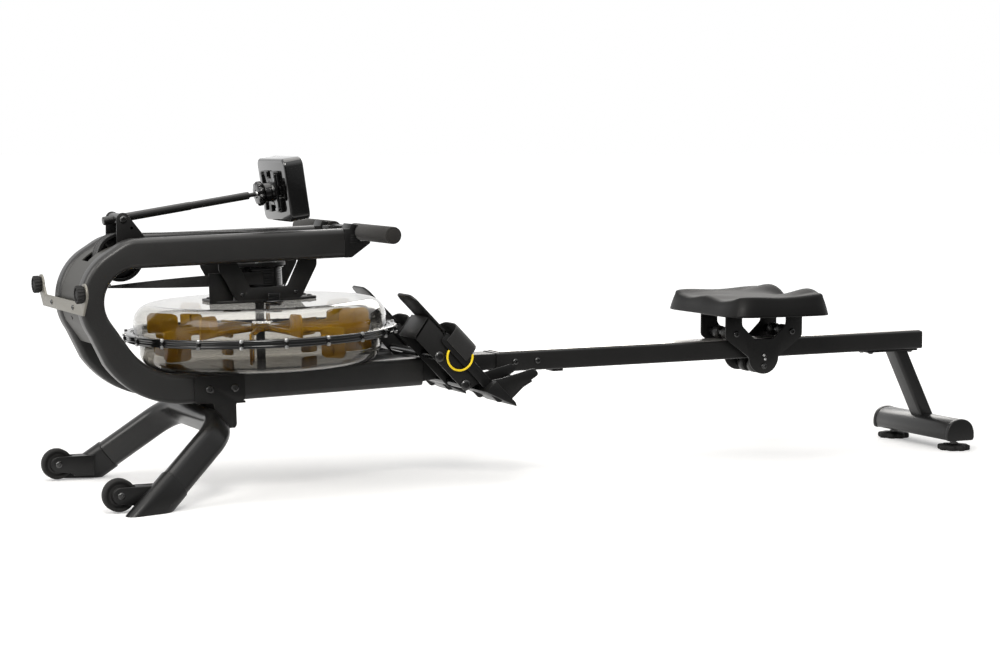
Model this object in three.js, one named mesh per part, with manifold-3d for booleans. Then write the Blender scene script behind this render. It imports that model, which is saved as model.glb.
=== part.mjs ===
// Water rowing machine. Millimetres, +X towards the rear, +Y to the rower's right, +Z up.
import * as THREE from 'three';
import { mergeVertices } from 'three/addons/utils/BufferGeometryUtils.js';
import Module from 'manifold-3d';

const wasm = await Module();
wasm.setup();

// Shared clearances
const gap = 0.3; // between pieces that touch
const overrun = 4; // how far a cutter passes through what it cuts
const weld = 0.0005; // distance under which vertices are one
const running = 1.2; // between a turning piece and its fork or guard

// The front unit leans back by this angle, and the rail rises to the rear by its own
const frameTilt = THREE.MathUtils.degToRad(1.8);
const railTilt = THREE.MathUtils.degToRad(0.66);

// Side frames: one bent tube on each side, described along the inside of its C
const frameSpan = 82; // tube centre from the middle plane
const frameWidth = 42;
const frameDepth = 58;
const frameBendDepth = 48.5; // the tube flattens in the tight front bend
const frameCorner = 11;
const frameTopEnd = 524; // rear end of the upper run
const frameTopUnder = 451.2; // underside of the upper run
const frameLowEnd = 686.5; // rear end of the lower run
const frameLowTop = 237.3; // top of the lower run
const frameBendRadius = 65;
const frameSweepRadius = 136;
const frameBendAt = -29.3; // where the upper run and the slope would meet
const frameSweepAt = 110.7; // where the slope and the lower run would meet
const frameInner = frameSpan - frameWidth / 2;
const frameOuter = frameSpan + frameWidth / 2;
const frameTopFace = frameTopUnder + frameDepth;
const frameLowUnder = frameLowTop - frameDepth;
const bendCentre = [90.9, frameTopUnder - frameBendRadius];
const frameFront = bendCentre[0] - frameBendRadius - frameBendDepth;

// Front cover plate between the side frames
const coverRecess = 4;
const coverThickness = 3;
const coverHoleTurn = THREE.MathUtils.degToRad(4.5); // past the lower end of the bend
const coverLowAngle = -21; // degrees, where its arc ends below
const coverTopAngle = 84;
const coverSlotAngle = 47; // where the pulley slot starts
const coverSlotWidth = 44;
const coverTail = 52; // straight lower part
const coverTailTurn = 12;
const coverHole = 4;

// Storage bracket and its rubber feet
const storageHeight = 24;
const storageSheet = 4;
const storageHalf = 150; // half length of its lower edge
const storageNeck = 128; // half length of its upper edge, between the ears
const storageAt = 382;
const storageEar = [163, 412.5]; // middle of an ear
const storageEarRadius = 20;
const storageStandoff = 6;
const storageBoss = 7;
const storageBolt = 5;
const storageBoltHeight = 2.5;
const storageBoltSpan = 80;
const storageFootRadius = 17.5;
const storageFootLength = 15;
const storageFootFlutes = 16;
const storageFootFlute = 1.2;

// Handle rests: plastic caps on the upper tube ends
const restLength = 42;
const restHump = 10;
const restSaddle = 18; // radius of the hollow under the grip
const restSaddleEnd = THREE.MathUtils.degToRad(-237.6);
const restLip = 15;
const restChamfer = 28;

// Handle
const handleAt = [547.6, 518.4];
const handleHalf = 264;
const gripRadius = 17;
const gripStart = 58;
const barRadius = 11.5;
const barEndSpare = 3;
const yokeLength = 30;
const yokeWidth = 44;
const yokeHeight = 20;
const yokeWall = 5;

// Pull strap and the wheels that lead it
const strapWidth = 25;
const strapThick = 2;
const pulleyAt = [82.8, 469.6];
const pulleyRadius = 48;
const pulleyWidth = 36;
const pulleyRim = 4;
const pulleyGroove = 45;
const pulleyBore = 8;
const pulleyWeb = 8;
const pulleyHub = 14;
const axleRadius = pulleyBore - gap;
const idlerAt = [47, 419.5];
const idlerRadius = 7;
const idlerWidth = 30;
const idlerPin = 3;
const guideAt = [280, -23.5];
const guideRadius = 6;
const guidePin = 2.5;

// Water tank, turned about an upright axis
const tankAt = 374;
const flangeRadius = 270.8;
const flangeWidth = 14.8;
const flangeUnder = 298;
const flangeThick = 4.5;
const gasketThick = 3;
const gasketLip = 3;
const upperRadius = flangeRadius - flangeWidth;
const upperTop = 368;
const upperFillet = 38;
const lowerStep = 11; // by which the lower shell is smaller than the upper one
const lowerRadius = upperRadius - lowerStep;
const lowerBottom = 241.5;
const lowerFillet = 30;
const tankWall = 4;
const tankFacets = 36;
const tankBolts = 20;
const tankBoltHead = 4.6;
const tankBoltHeight = 3.4;
const boltSides = 6;
const waterHoleRadius = 17;
const waterHoleAt = 86;
const shaftHole = 15;

// Impeller and its shaft
const shaftRadius = 9;
const collarRadius = 13.5;
const paddleCount = 14; // upper and lower ones in turn
const paddleStart = THREE.MathUtils.degToRad(14.3);
const paddleClearance = 13; // from the wall of the lower shell
const paddleReach = lowerRadius - tankWall - paddleClearance;
const paddleRoot = 40;
const paddleRise = 41; // of an upper paddle, over the middle of the arms
const paddleFall = 54; // of a lower paddle, under it
const paddleWide = 62;
const paddleArm = 14;
const paddleThick = 4;
const paddleMiddle = 312;
const paddleCorner = 14;
const hubSides = 14;

// Drive bracket, drum and spring case over the tank
const bracketSheet = 4;
const bracketFoot = 69; // half length of its lower edge
const bracketTop = 104; // half length at the tubes
const bracketCutFoot = 39.5;
const bracketCutTop = 65.5;
const bracketUnder = 373.4;
const bracketCutAt = 398;
const bracketKnee = 437;
const bracketRise = 489;
const bearingHalf = 108;
const bearingNose = 46;
const bearingSheet = 5;
const guardAt = 44; // the upright sheet beside the strap's guide
const guardSheet = 4;
const guardTop = 430;
const guardFrom = 71; // nearest and furthest from the shaft
const guardTo = 120;
const drumRadius = 47;
const drumUnder = 395;
const drumTop = 437;
const drumRim = 4;
const drumRimThick = 3;
const springCaseRadius = 55;
const springCaseHeight = 9;
const springBarWidth = 26;

// Fill plug with its T grip
const plugHead = 21;
const plugHeadHeight = 6;
const plugGripHeight = 13;
const plugGripLength = 26;
const plugGripWidth = 7;
const plugStem = waterHoleRadius - 1;

// Tank cradle: two cross members on the lower tubes
const cradleSpan = 150;
const cradleWidth = 60;
const cradleThick = 3.5;

// Monitor arm, head and screen
const armPivot = [84.9, 545.3];
const armPlateSpan = 40;
const armPlateSheet = 4;
const armPlateRadius = 13;
const armPlateSlope = THREE.MathUtils.degToRad(39.6); // where the round end meets the sloping edge
const armPlateFront = 70;
const armPlateRear = 128;
const armPlateFoot = 497;
const armBoltRadius = 5;
const tieRadius = 3.5;
const armRise = THREE.MathUtils.degToRad(7.3);
const armRadius = 8.5;
const armTipRadius = 7.2;
const armSleeve = 11;
const armBack = 30;
const armLength = 276;
const armStepShare = 0.55;
const ballNeck = 23; // from the arm's tip to the middle of the ball
const ballReach = armLength + ballNeck;
const ballRadius = 9;
const ballStem = 4.5;
const knobRadius = 25;
const knobLength = 13;
const knobFlutes = 10;
const knobFluteShare = 0.12;
const knobEdge = 1.5;
const socketRadius = 19.5;
const socketLength = 19;
const headTilt = THREE.MathUtils.degToRad(7);
const headPlateWidth = 92;
const headPlateHeight = 84;
const headPlateSheet = 6;
const monitorWidth = 162;
const monitorHeight = 128;
const monitorThick = 42;
const monitorLift = 2; // its middle over the ball
const monitorCorner = 16;
const monitorEdge = 5;
const screenInset = 14;
const screenProud = 1.2;

// Front legs: one bent flat-oval tube, with a sleeve cap and a wheel at each end
const legSlope = THREE.MathUtils.degToRad(39.3);
const legSplay = THREE.MathUtils.degToRad(23);
const legTop = [229, 147];
const legFlat = 60; // long side of the oval
const legThick = 34.5;
const legCorner = 15.5;
const legBendRadius = 80;
const legFootSpan = 261.5;
const capWall = 3;
const capLength = 85;
const wheelAt = [0, 34.4];
const wheelInset = 32.8; // from the middle of the foot
const wheelSpan = legFootSpan - wheelInset;
const wheelRadius = 31.8;
const wheelWidth = 22;
const wheelCrown = 3;
const wheelBore = 5;
const wheelHub = 15;
const wheelDish = 5;
const forkSheet = 6;
const forkRadius = 16;
const forkReach = 74;
const forkLow = 8;
const axleHead = 7;
const axleHeadHeight = 3;

// Bracket that ties the legs to the lower tubes
const clampAt = 248.5;
const clampHalf = 52;
const clampSheet = 4;
const clampRise = 232;
const clampCorner = 9;
const gussetHalf = 25;
const gussetRear = 32.5;
const gussetDrop = 134;
const clampBolt = 6;
const clampBoltHeight = 4;
const clampBoltShare = 0.5;
const clampBoltShift = 5;

// Rail, seen from a frame that starts at its front end on the floor line
const railFront = 882;
const railLength = 1088;
const railHalf = 35.7;
const railTop = 255; // height at the front end
const railHeight = 40.5;
const railCorner = 4;
const railWall = 3;
const stripWidth = 60;
const stripThick = 1.5;
const railCapThick = 3;
const railCapCorner = 5;
const railPlugLength = 15;
const railPlugCorner = 1.7;
const railBoltAts = [43.5, 96];
const railBolt = 7;
const railBoltHeight = 4;
const stopAt = 142;
const stopLength = 24;
const stopHeight = 7;

// Centre beam from the side frames to the rail
const beamFront = 560;
const beamHalf = 33;
const beamTop = 253.5;
const beamDeep = 52;
const beamShallow = 31;
const beamTaperAt = 780;
const beamTongue = 70;
const beamEdge = 2;
const beamEarInset = 12;
const beamEarShare = 0.62; // how far back the second ear stands
const beamEarShares = [0.2, 0.7]; // of the beam's depth, between which the ears lie

// Rear leg
const rearTubeHalf = 23;
const rearTubeLength = 37; // along the rail
const railRear = railFront + railLength;
const rearTubeTopInset = 71; // these insets and reaches are from the rail's rear end
const rearTubeFootReach = 17;
const rearPlateFrontInset = 148;
const rearPlateRearInset = 12;
const rearTubeTop = railRear - rearTubeTopInset;
const rearTubeFoot = railRear + rearTubeFootReach;
const rearPlateFront = railRear - rearPlateFrontInset;
const rearPlateRear = railRear - rearPlateRearInset;
const rearPlateSheet = 4;
const rearPlateHalf = 30;
const rearBolt = 6;
const rearBoltHeight = 4;
const rearBoltInset = 14; // from the plate's ends
const rearBoltSpan = 18.6;
const crossbarHalf = 138;
const crossbarInset = 8;
const crossbarLength = 72;
const crossbarFront = railRear - crossbarInset;
const crossbarRear = crossbarFront + crossbarLength;
const crossbarUnder = 24;
const crossbarHeight = 48;
// Corners and control points of its section, as shares of its length and height
const crossbarShares = [
  [0.12, 0], [0.9, 0], [1, 0], [1, 0.22], [1, 0.8], [0.75, 1],
  [0.5, 1], [0.12, 1], [0, 0.65], [0, 0.3], [0, 0],
];
const crossbarCap = 12;
const crossbarCapProud = 1;
const crossbarCapEdge = 3;
const levellerReach = 30;
const levellerAt = railRear + levellerReach;
const levellerSpan = 119.6;
const levellerRadius = 37;
const levellerThick = 12;
const levellerLobes = 8;
const levellerLobeShare = 0.08;
const levellerStud = 6;
const levellerEdge = 2;

// Footplates, each on the slope of the foot
const footSpan = 125;
const footSlope = THREE.MathUtils.degToRad(45.5);
const footHeel = [839, 171]; // lower end of the sole line
const footFrom = 66; // lower end of the fixed board
const footLength = 306;
const footHalf = 43;
const footSheet = 4;
const footTip = 18; // radius of the toe's corners
const tongueFrom = 199;
const tongueLift = 2;
const footCheek = 51;
const footCheekFrom = 80;
const footCheekTo = 240;
const footBoxTo = 249;
const rodUpperAt = [688.6, 266.2];
const rodLowerAt = [747.3, 206];
const rodRadius = 8;
const rodHead = 11;
const rodHeadHeight = 4;
const slideHalf = footHalf + 6;
const slideSheet = 4;
const slideFlange = 18;
const slideFlangeFrom = 8;
const slideLength = 197;
const heelHalf = 72;
const heelTip = 15;
const heelWedge = 56;
const heelWedgeDrop = 26;
const heelSheet = 3.5;
const wingSpan = 53;
const wingFrom = 60;
const wingKnee = [44, 22];
const wingTop = [5, 88];
const wingBack = [-12, 86];
const wingWaist = [-2, 43];
const heelWallTop = 66;
const bandWidth = 62;
const bandThick = 3;
const bandRise = 34;
const bandFoot = -8;
const bandShare = 0.55; // squares the shoulders of the arch
const bandRiseShare = 0.7;
const bandAt = 158;
const ringRadius = 28;
const ringWire = 1.8;
const ringAt = [143, -11]; // along the sole and out from it
const ringFacets = [14, 5];

// Seat and its carriage, at the photographed place along the rail
const seatAt = 1527;
const seatRise = 67; // over the front end of the rail
const seatUnder = railTop + seatRise;
const seatLength = 259;
const seatMiddle = seatAt - 9.5; // the cushion reaches further to the front than the carriage
const seatWidth = 334;
const seatTall = 50;
const seatGrid = [15, 18]; // cells along and across
const seatShares = {
  level: 0.82,
  lobe: 0.3,
  lobeHill: [0.52, 0.3],
  lobeRamp: [0.3, 0.9],
  notch: 0.22,
  notchHill: [0, 0.2],
  notchRamp: [0.35, 0.95],
  thigh: 0.14,
  thighHill: [0.45, 0.3],
  thighRamp: [0.1, 0.9],
  nose: 0.02,
  noseRamp: [0.2, 0.9],
  wing: 0.14,
  wingRamp: [0.7, 1],
  wingFade: 0.6,
  wingHill: [0, 0.45],
  dish: 0.05,
  rimFall: 0.18,
  rearNotch: 0.07,
  rearHill: [0, 0.25],
  frontBow: 0.03,
  round: 5.2,
  edge: 4.5,
};
const seatFlare = 10;
const seatPan = 6;
const plateSpan = 52;
const plateSheet = 4;
const plateArm = 99; // half length at the seat
const plateArmWidth = 42;
const plateArmTall = 53.4;
const plateShoulder = seatUnder - plateArmTall;
const plateLobe = 38;
const plateLobeFall = 43.6;
const plateLobeAt = plateShoulder - plateLobeFall; // height of the middle of the lower lobe
const plateCutFall = 26;
const plateCutHigh = seatUnder - plateCutFall;
const plateCutTall = 31.5;
const plateCutLow = plateCutHigh - plateCutTall;
const plateCutHalf = 23;
const rollerSpan = 72; // upper axles from the carriage middle
const upperRoller = 14;
const lowerRoller = 17;
const rollerWidth = 22;
const rollerShaft = 6;
const rollerSleeve = 9;
const rollerHead = 7.2;
const rollerHeadHeight = 3.5;
const rollerCount = 2;

// Materials
function paint(color, roughness, metalness) {
  return new THREE.MeshStandardMaterial({ color, roughness, metalness });
}

const blackSteel = paint(0x202124, 0.55, 0.5);
const greySteel = paint(0x7d7a74, 0.45, 0.7);
const stainless = paint(0xcfcbc2, 0.3, 0.9);
const blackPlastic = paint(0x161719, 0.5, 0);
const rubber = paint(0x1b1b1d, 0.85, 0);
const foam = paint(0x2b2926, 0.9, 0);
const webbing = paint(0x141414, 0.9, 0);
const smokedTank = paint(0x8d8580, 0.12, 0);
const clearTank = paint(0xdad6cf, 0.08, 0);
const amber = paint(0xc48a12, 0.35, 0);
const padding = paint(0x25262a, 0.7, 0);

// Solids

function outward(geometry) {
  const bare = geometry.index ? geometry.toNonIndexed() : geometry.clone();
  for (const name of ['normal', 'uv']) bare.deleteAttribute(name);
  const merged = mergeVertices(bare, weld);
  const place = merged.attributes.position;
  const index = merged.index.array;
  const [a, b, c] = [new THREE.Vector3(), new THREE.Vector3(), new THREE.Vector3()];
  const kept = [];
  let volume = 0;
  for (let i = 0; i < index.length; i += 3) {
    const [p, q, r] = [index[i], index[i + 1], index[i + 2]];
    if (p === q || q === r || r === p) continue;
    kept.push(p, q, r);
    a.fromBufferAttribute(place, p);
    b.fromBufferAttribute(place, q);
    c.fromBufferAttribute(place, r);
    volume += a.dot(b.cross(c));
  }
  if (volume < 0) {
    for (let i = 0; i < kept.length; i += 3) [kept[i], kept[i + 1]] = [kept[i + 1], kept[i]];
  }
  merged.setIndex(kept);
  return merged;
}

function toManifold(geometry) {
  const merged = outward(geometry);
  const vertProperties = new Float32Array(merged.attributes.position.array);
  const triVerts = new Uint32Array(merged.index.array);
  return new wasm.Manifold(new wasm.Mesh({ numProp: 3, vertProperties, triVerts }));
}

function toGeometry(body) {
  const mesh = body.getMesh();
  const geometry = new THREE.BufferGeometry();
  geometry.setAttribute('position', new THREE.BufferAttribute(new Float32Array(mesh.vertProperties), 3));
  geometry.setIndex([...mesh.triVerts]);
  geometry.computeVertexNormals();
  return geometry;
}

function join(first, ...others) {
  return toGeometry(others.reduce((sum, g) => sum.add(toManifold(g)), toManifold(first)));
}

function cut(first, ...others) {
  return toGeometry(others.reduce((rest, g) => rest.subtract(toManifold(g)), toManifold(first)));
}


// Outlines

function roundedRect(width, height, radius) {
  const [w, h] = [width / 2, height / 2];
  const shape = new THREE.Shape();
  shape.moveTo(-w + radius, -h);
  shape.lineTo(w - radius, -h);
  shape.absarc(w - radius, -h + radius, radius, -Math.PI / 2, 0);
  shape.lineTo(w, h - radius);
  shape.absarc(w - radius, h - radius, radius, 0, Math.PI / 2);
  shape.lineTo(-w + radius, h);
  shape.absarc(-w + radius, h - radius, radius, Math.PI / 2, Math.PI);
  shape.lineTo(-w, -h + radius);
  shape.absarc(-w + radius, -h + radius, radius, Math.PI, Math.PI * 1.5);
  return shape;
}

const outline = (points) => new THREE.Shape(points.map(([x, y]) => new THREE.Vector2(x, y)));

function circle(x, y, radius) {
  const path = new THREE.Path();
  path.absarc(x, y, radius, 0, Math.PI * 2);
  return path;
}

// A polyline whose corners are rounded, as points with their headings
function bentPath(corners, radii, stepDegrees = 11) {
  const path = [];
  corners.forEach(([x, y], i) => {
    const radius = radii[i];
    if (!radius) {
      path.push(new THREE.Vector2(x, y));
      return;
    }
    const here = new THREE.Vector2(x, y);
    const back = new THREE.Vector2(...corners[i - 1]).sub(here).normalize();
    const ahead = new THREE.Vector2(...corners[i + 1]).sub(here).normalize();
    const turn = Math.PI - Math.acos(back.dot(ahead));
    const reach = radius * Math.tan(turn / 2);
    const middle = back.clone().add(ahead).normalize();
    const centre = here.clone().addScaledVector(middle, radius / Math.cos(turn / 2));
    const from = here.clone().addScaledVector(back, reach).sub(centre);
    const way = Math.sign(back.cross(ahead));
    const steps = Math.max(2, Math.round(THREE.MathUtils.radToDeg(turn) / stepDegrees));
    for (let k = 0; k <= steps; k += 1) {
      const spoke = from.clone().rotateAround(new THREE.Vector2(), (-way * turn * k) / steps);
      path.push(centre.clone().add(spoke));
    }
  });
  return path;
}

// Extrusions. Each takes an outline and the two faces that it runs between

function extrude(shape, depth, bevel, curveSegments) {
  const settings = { depth: depth - 2 * bevel, bevelEnabled: bevel > 0, curveSegments };
  const bevels = { bevelThickness: bevel, bevelSize: bevel, bevelOffset: -bevel, bevelSegments: 1 };
  return new THREE.ExtrudeGeometry(shape, { ...settings, ...bevels }).translate(0, 0, bevel);
}

function sideways(shape, yLow, yHigh, { bevel = 0, curveSegments = 8 } = {}) {
  const geometry = extrude(shape, yHigh - yLow, bevel, curveSegments);
  return geometry.rotateX(Math.PI / 2).translate(0, yHigh, 0);
}

function upright(shape, zLow, zHigh, { bevel = 0, curveSegments = 8 } = {}) {
  return extrude(shape, zHigh - zLow, bevel, curveSegments).translate(0, 0, zLow);
}

function lengthways(shape, xLow, xHigh, { bevel = 0, curveSegments = 8 } = {}) {
  const turn = new THREE.Matrix4().set(0, 0, 1, 0, 1, 0, 0, 0, 0, 1, 0, 0, 0, 0, 0, 1);
  return extrude(shape, xHigh - xLow, bevel, curveSegments).applyMatrix4(turn).translate(xLow, 0, 0);
}

// A closed profile of [radius, height] pairs turned about the upright axis
function turned(profile, segments) {
  const points = profile.map(([r, h]) => new THREE.Vector2(r, h));
  return new THREE.LatheGeometry(points, segments).rotateX(Math.PI / 2);
}

// The same about a crosswise axis through x, z, with the middle of its height at y
function turnedAcross(profile, segments, x, y, z) {
  return turned(profile, segments).rotateX(Math.PI / 2).translate(x, y, z);
}

function barAcross(radius, yLow, yHigh, x, z, segments = 20) {
  const geometry = new THREE.CylinderGeometry(radius, radius, yHigh - yLow, segments);
  return geometry.translate(x, (yLow + yHigh) / 2, z);
}

function post(radius, zLow, zHigh, x, y, segments = 20, topRadius = radius) {
  const geometry = new THREE.CylinderGeometry(topRadius, radius, zHigh - zLow, segments);
  return geometry.rotateX(Math.PI / 2).translate(x, y, (zLow + zHigh) / 2);
}

function barLengthways(radius, xLow, xHigh, y, z, segments = 14) {
  const geometry = new THREE.CylinderGeometry(radius, radius, xHigh - xLow, segments);
  return geometry.rotateZ(Math.PI / 2).translate((xLow + xHigh) / 2, y, z);
}

function box(xs, ys, zs) {
  const geometry = new THREE.BoxGeometry(xs[1] - xs[0], ys[1] - ys[0], zs[1] - zs[0]);
  return geometry.translate((xs[0] + xs[1]) / 2, (ys[0] + ys[1]) / 2, (zs[0] + zs[1]) / 2);
}

// Skins a row of rings that each have the same number of points
function loft(rings) {
  const count = rings[0].length;
  const places = [];
  const faces = [];
  for (const ring of rings) for (const p of ring) places.push(p.x, p.y, p.z);
  for (let k = 0; k + 1 < rings.length; k += 1) {
    for (let i = 0; i < count; i += 1) {
      const j = (i + 1) % count;
      const [a, b, c, d] = [k * count + i, k * count + j, (k + 1) * count + j, (k + 1) * count + i];
      faces.push(a, b, c, a, c, d);
    }
  }
  for (const [ring, flip] of [[0, true], [rings.length - 1, false]]) {
    const middle = new THREE.Vector3();
    for (const p of rings[ring]) middle.addScaledVector(p, 1 / count);
    places.push(middle.x, middle.y, middle.z);
    const tip = places.length / 3 - 1;
    for (let i = 0; i < count; i += 1) {
      const [a, b] = [ring * count + i, ring * count + ((i + 1) % count)];
      faces.push(...(flip ? [b, a, tip] : [a, b, tip]));
    }
  }
  const geometry = new THREE.BufferGeometry();
  geometry.setAttribute('position', new THREE.Float32BufferAttribute(places, 3));
  geometry.setIndex(faces);
  return geometry;
}

// Points of a rounded rectangle, u across and v along its depth
function ringPoints(width, depth, radius, cornerSteps = 2) {
  const points = [];
  const corners = [[1, 1], [-1, 1], [-1, -1], [1, -1]];
  corners.forEach(([su, sv], quarter) => {
    for (let k = 0; k <= cornerSteps; k += 1) {
      const angle = (Math.PI / 2) * (quarter + k / cornerSteps);
      const u = su * (width / 2 - radius) + radius * Math.cos(angle);
      const v = sv * (depth / 2 - radius) + radius * Math.sin(angle);
      points.push([u, v]);
    }
  });
  return points;
}

const root = new THREE.Group();
const frontUnit = new THREE.Group();
const railUnit = new THREE.Group();
frontUnit.rotation.y = -frameTilt;
railUnit.position.set(railFront, 0, 0);
railUnit.rotation.y = -railTilt;
root.add(frontUnit, railUnit);

function add(parent, name, geometry, material) {
  const mesh = new THREE.Mesh(outward(geometry), material);
  mesh.geometry.computeVertexNormals();
  mesh.name = name;
  parent.add(mesh);
  return mesh;
}

const sides = [['left', -1], ['right', 1]];
const spanOf = (way, near, far) => (way < 0 ? [-far, -near] : [near, far]);

// Side frames

function frameTube(way) {
  const corners = [
    [frameTopEnd, frameTopUnder],
    [frameBendAt, frameTopUnder],
    [frameSweepAt, frameLowTop],
    [frameLowEnd, frameLowTop],
  ];
  const path = bentPath(corners, [0, frameBendRadius, frameSweepRadius, 0]);
  const fade = frameBendRadius / 2;
  const slant = Math.atan2(frameTopUnder - frameLowTop, frameSweepAt - frameBendAt);
  const bendStart = frameBendAt + frameBendRadius * Math.tan((Math.PI - slant) / 2);
  const rings = path.map((p, i) => {
    const before = path[Math.max(0, i - 1)];
    const after = path[Math.min(path.length - 1, i + 1)];
    const heading = after.clone().sub(before).normalize();
    const out = new THREE.Vector2(heading.y, -heading.x);
    const inBend = p.distanceTo(new THREE.Vector2(...bendCentre)) < frameBendRadius + weld;
    const fromStart = Math.abs(p.x - bendStart) + Math.abs(p.y - frameTopUnder);
    const share = inBend ? Math.min(1, fromStart / fade) : 0;
    const depth = THREE.MathUtils.lerp(frameDepth, frameBendDepth, share);
    return ringPoints(frameWidth, depth, frameCorner).map(([u, v]) => {
      const reach = v + depth / 2;
      return new THREE.Vector3(p.x + out.x * reach, way * frameSpan + u, p.y + out.y * reach);
    });
  });
  return loft(rings);
}

// Front cover plate with its pulley slot

function coverPlate() {
  const outer = frameBendRadius + frameBendDepth - coverRecess;
  const inner = outer - coverThickness;
  const [cx, cz] = bendCentre;
  const low = Math.PI - THREE.MathUtils.degToRad(coverLowAngle);
  const high = Math.PI - THREE.MathUtils.degToRad(coverTopAngle);
  const heading = low + Math.PI / 2 + THREE.MathUtils.degToRad(coverTailTurn);
  const at = (radius, angle) => [cx + radius * Math.cos(angle), cz + radius * Math.sin(angle)];
  const tail = ([x, z]) => [x + coverTail * Math.cos(heading), z + coverTail * Math.sin(heading)];
  const shape = new THREE.Shape();
  shape.moveTo(...tail(at(inner, low)));
  shape.lineTo(...at(inner, low));
  shape.absarc(cx, cz, inner, low, high, true);
  shape.lineTo(...at(outer, high));
  shape.absarc(cx, cz, outer, high, low, false);
  shape.lineTo(...tail(at(outer, low)));
  const halfGap = frameInner - gap;
  const plate = sideways(shape, -halfGap, halfGap, { curveSegments: 14 });
  const slotFoot = at(outer, Math.PI - THREE.MathUtils.degToRad(coverSlotAngle));
  const slot = box([cx - outer - overrun, cx + outer], [-coverSlotWidth / 2, coverSlotWidth / 2],
    [slotFoot[1], cz + outer + overrun]);
  const [holeX, holeZ] = at(outer - coverThickness / 2, low - coverHoleTurn);
  const hole = new THREE.CylinderGeometry(coverHole, coverHole, coverThickness + 2 * overrun, 12);
  hole.rotateZ(Math.PI / 2).translate(holeX, 0, holeZ);
  return cut(plate, slot, hole);
}

// Storage bracket: a strip across both tubes with an ear at each end

function storageBracket() {
  const [low, high] = [storageAt - storageHeight / 2, storageAt + storageHeight / 2];
  const [ey, ez] = storageEar;
  const shape = new THREE.Shape();
  shape.moveTo(-storageHalf, low);
  shape.lineTo(storageHalf, low);
  shape.absarc(ey, ez, storageEarRadius, -Math.PI / 8, Math.PI);
  shape.lineTo(storageNeck, high);
  shape.lineTo(-storageNeck, high);
  shape.absarc(-ey, ez, storageEarRadius, 0, Math.PI + Math.PI / 8);
  const back = frameFront - gap - storageStandoff;
  const boltFront = back - storageSheet - storageBoltHeight;
  const strip = lengthways(shape, back - storageSheet, back);
  const bosses = sides.flatMap(([, way]) => [
    barLengthways(storageBoss, back - weld, frameFront - gap, way * storageBoltSpan, storageAt),
    barLengthways(storageBolt, boltFront, back, way * storageBoltSpan, storageAt),
  ]);
  return join(strip, ...bosses);
}

function storageFoot(way) {
  const front = frameFront - gap - storageStandoff - storageSheet - gap;
  const points = [];
  const steps = storageFootFlutes * 2;
  for (let k = 0; k < steps; k += 1) {
    const radius = storageFootRadius - (k % 2) * storageFootFlute;
    const angle = (Math.PI * 2 * k) / steps;
    points.push([way * storageEar[0] + radius * Math.cos(angle), storageEar[1] + radius * Math.sin(angle)]);
  }
  return lengthways(outline(points), front - storageFootLength, front);
}

// Handle rest on a tube end: full section, a hump in front of the grip and a saddle under it

const handleLocal = [
  handleAt[0] * Math.cos(frameTilt) + handleAt[1] * Math.sin(frameTilt),
  handleAt[1] * Math.cos(frameTilt) - handleAt[0] * Math.sin(frameTilt),
];

function handleRest(way) {
  const [hx, hz] = handleLocal;
  const front = frameTopEnd + gap;
  const saddleFoot = hz - restSaddle;
  const shape = new THREE.Shape();
  shape.moveTo(front, frameTopUnder);
  shape.lineTo(front + restLength - restChamfer, frameTopUnder);
  shape.lineTo(hx + restLip, saddleFoot - restHump / 2);
  shape.lineTo(hx + restLip, saddleFoot);
  shape.lineTo(hx, saddleFoot);
  shape.absarc(hx, hz, restSaddle, -Math.PI / 2, restSaddleEnd, true);
  shape.lineTo(front + restLength / 3, frameTopFace + restHump);
  shape.lineTo(front + restHump, frameTopFace);
  shape.lineTo(front, frameTopFace);
  const [low, high] = spanOf(way, frameInner, frameOuter);
  return sideways(shape, low, high, { curveSegments: 8 });
}

// Tank shells

function upperShell() {
  const base = flangeUnder + flangeThick + gasketThick + gap;
  const seat = base + flangeThick;
  const [r, top, f] = [upperRadius, upperTop, upperFillet];
  const arc = (inset) => [0, 1, 2, 3].map((k) => {
    const angle = (Math.PI / 2) * (k / 3);
    return [r - f + (f - inset) * Math.cos(angle), top - f + (f - inset) * Math.sin(angle)];
  });
  const profile = [
    [flangeRadius, base],
    [flangeRadius, seat],
    [r, seat],
    ...arc(0),
    [shaftHole, top],
    [shaftHole, top - tankWall],
    ...arc(tankWall).reverse(),
    [r - tankWall, base],
    [flangeRadius, base],
  ];
  const shell = turned(profile, tankFacets).translate(tankAt, 0, 0);
  const hole = post(waterHoleRadius, top - tankWall - overrun, top + overrun, tankAt, -waterHoleAt);
  return cut(shell, hole);
}

function lowerShell() {
  const seat = flangeUnder + flangeThick;
  const [r, bottom, f] = [lowerRadius, lowerBottom, lowerFillet];
  const arc = (inset) => [0, 1, 2, 3].map((k) => {
    const angle = (Math.PI / 2) * (k / 3);
    return [r - f + (f - inset) * Math.sin(angle), bottom + f - (f - inset) * Math.cos(angle)];
  });
  const profile = [
    [0, bottom],
    ...arc(0),
    [r, flangeUnder],
    [flangeRadius, flangeUnder],
    [flangeRadius, seat],
    [r - tankWall, seat],
    ...arc(tankWall).reverse(),
    [0, bottom + tankWall],
  ];
  return turned(profile, tankFacets).translate(tankAt, 0, 0);
}

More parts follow.
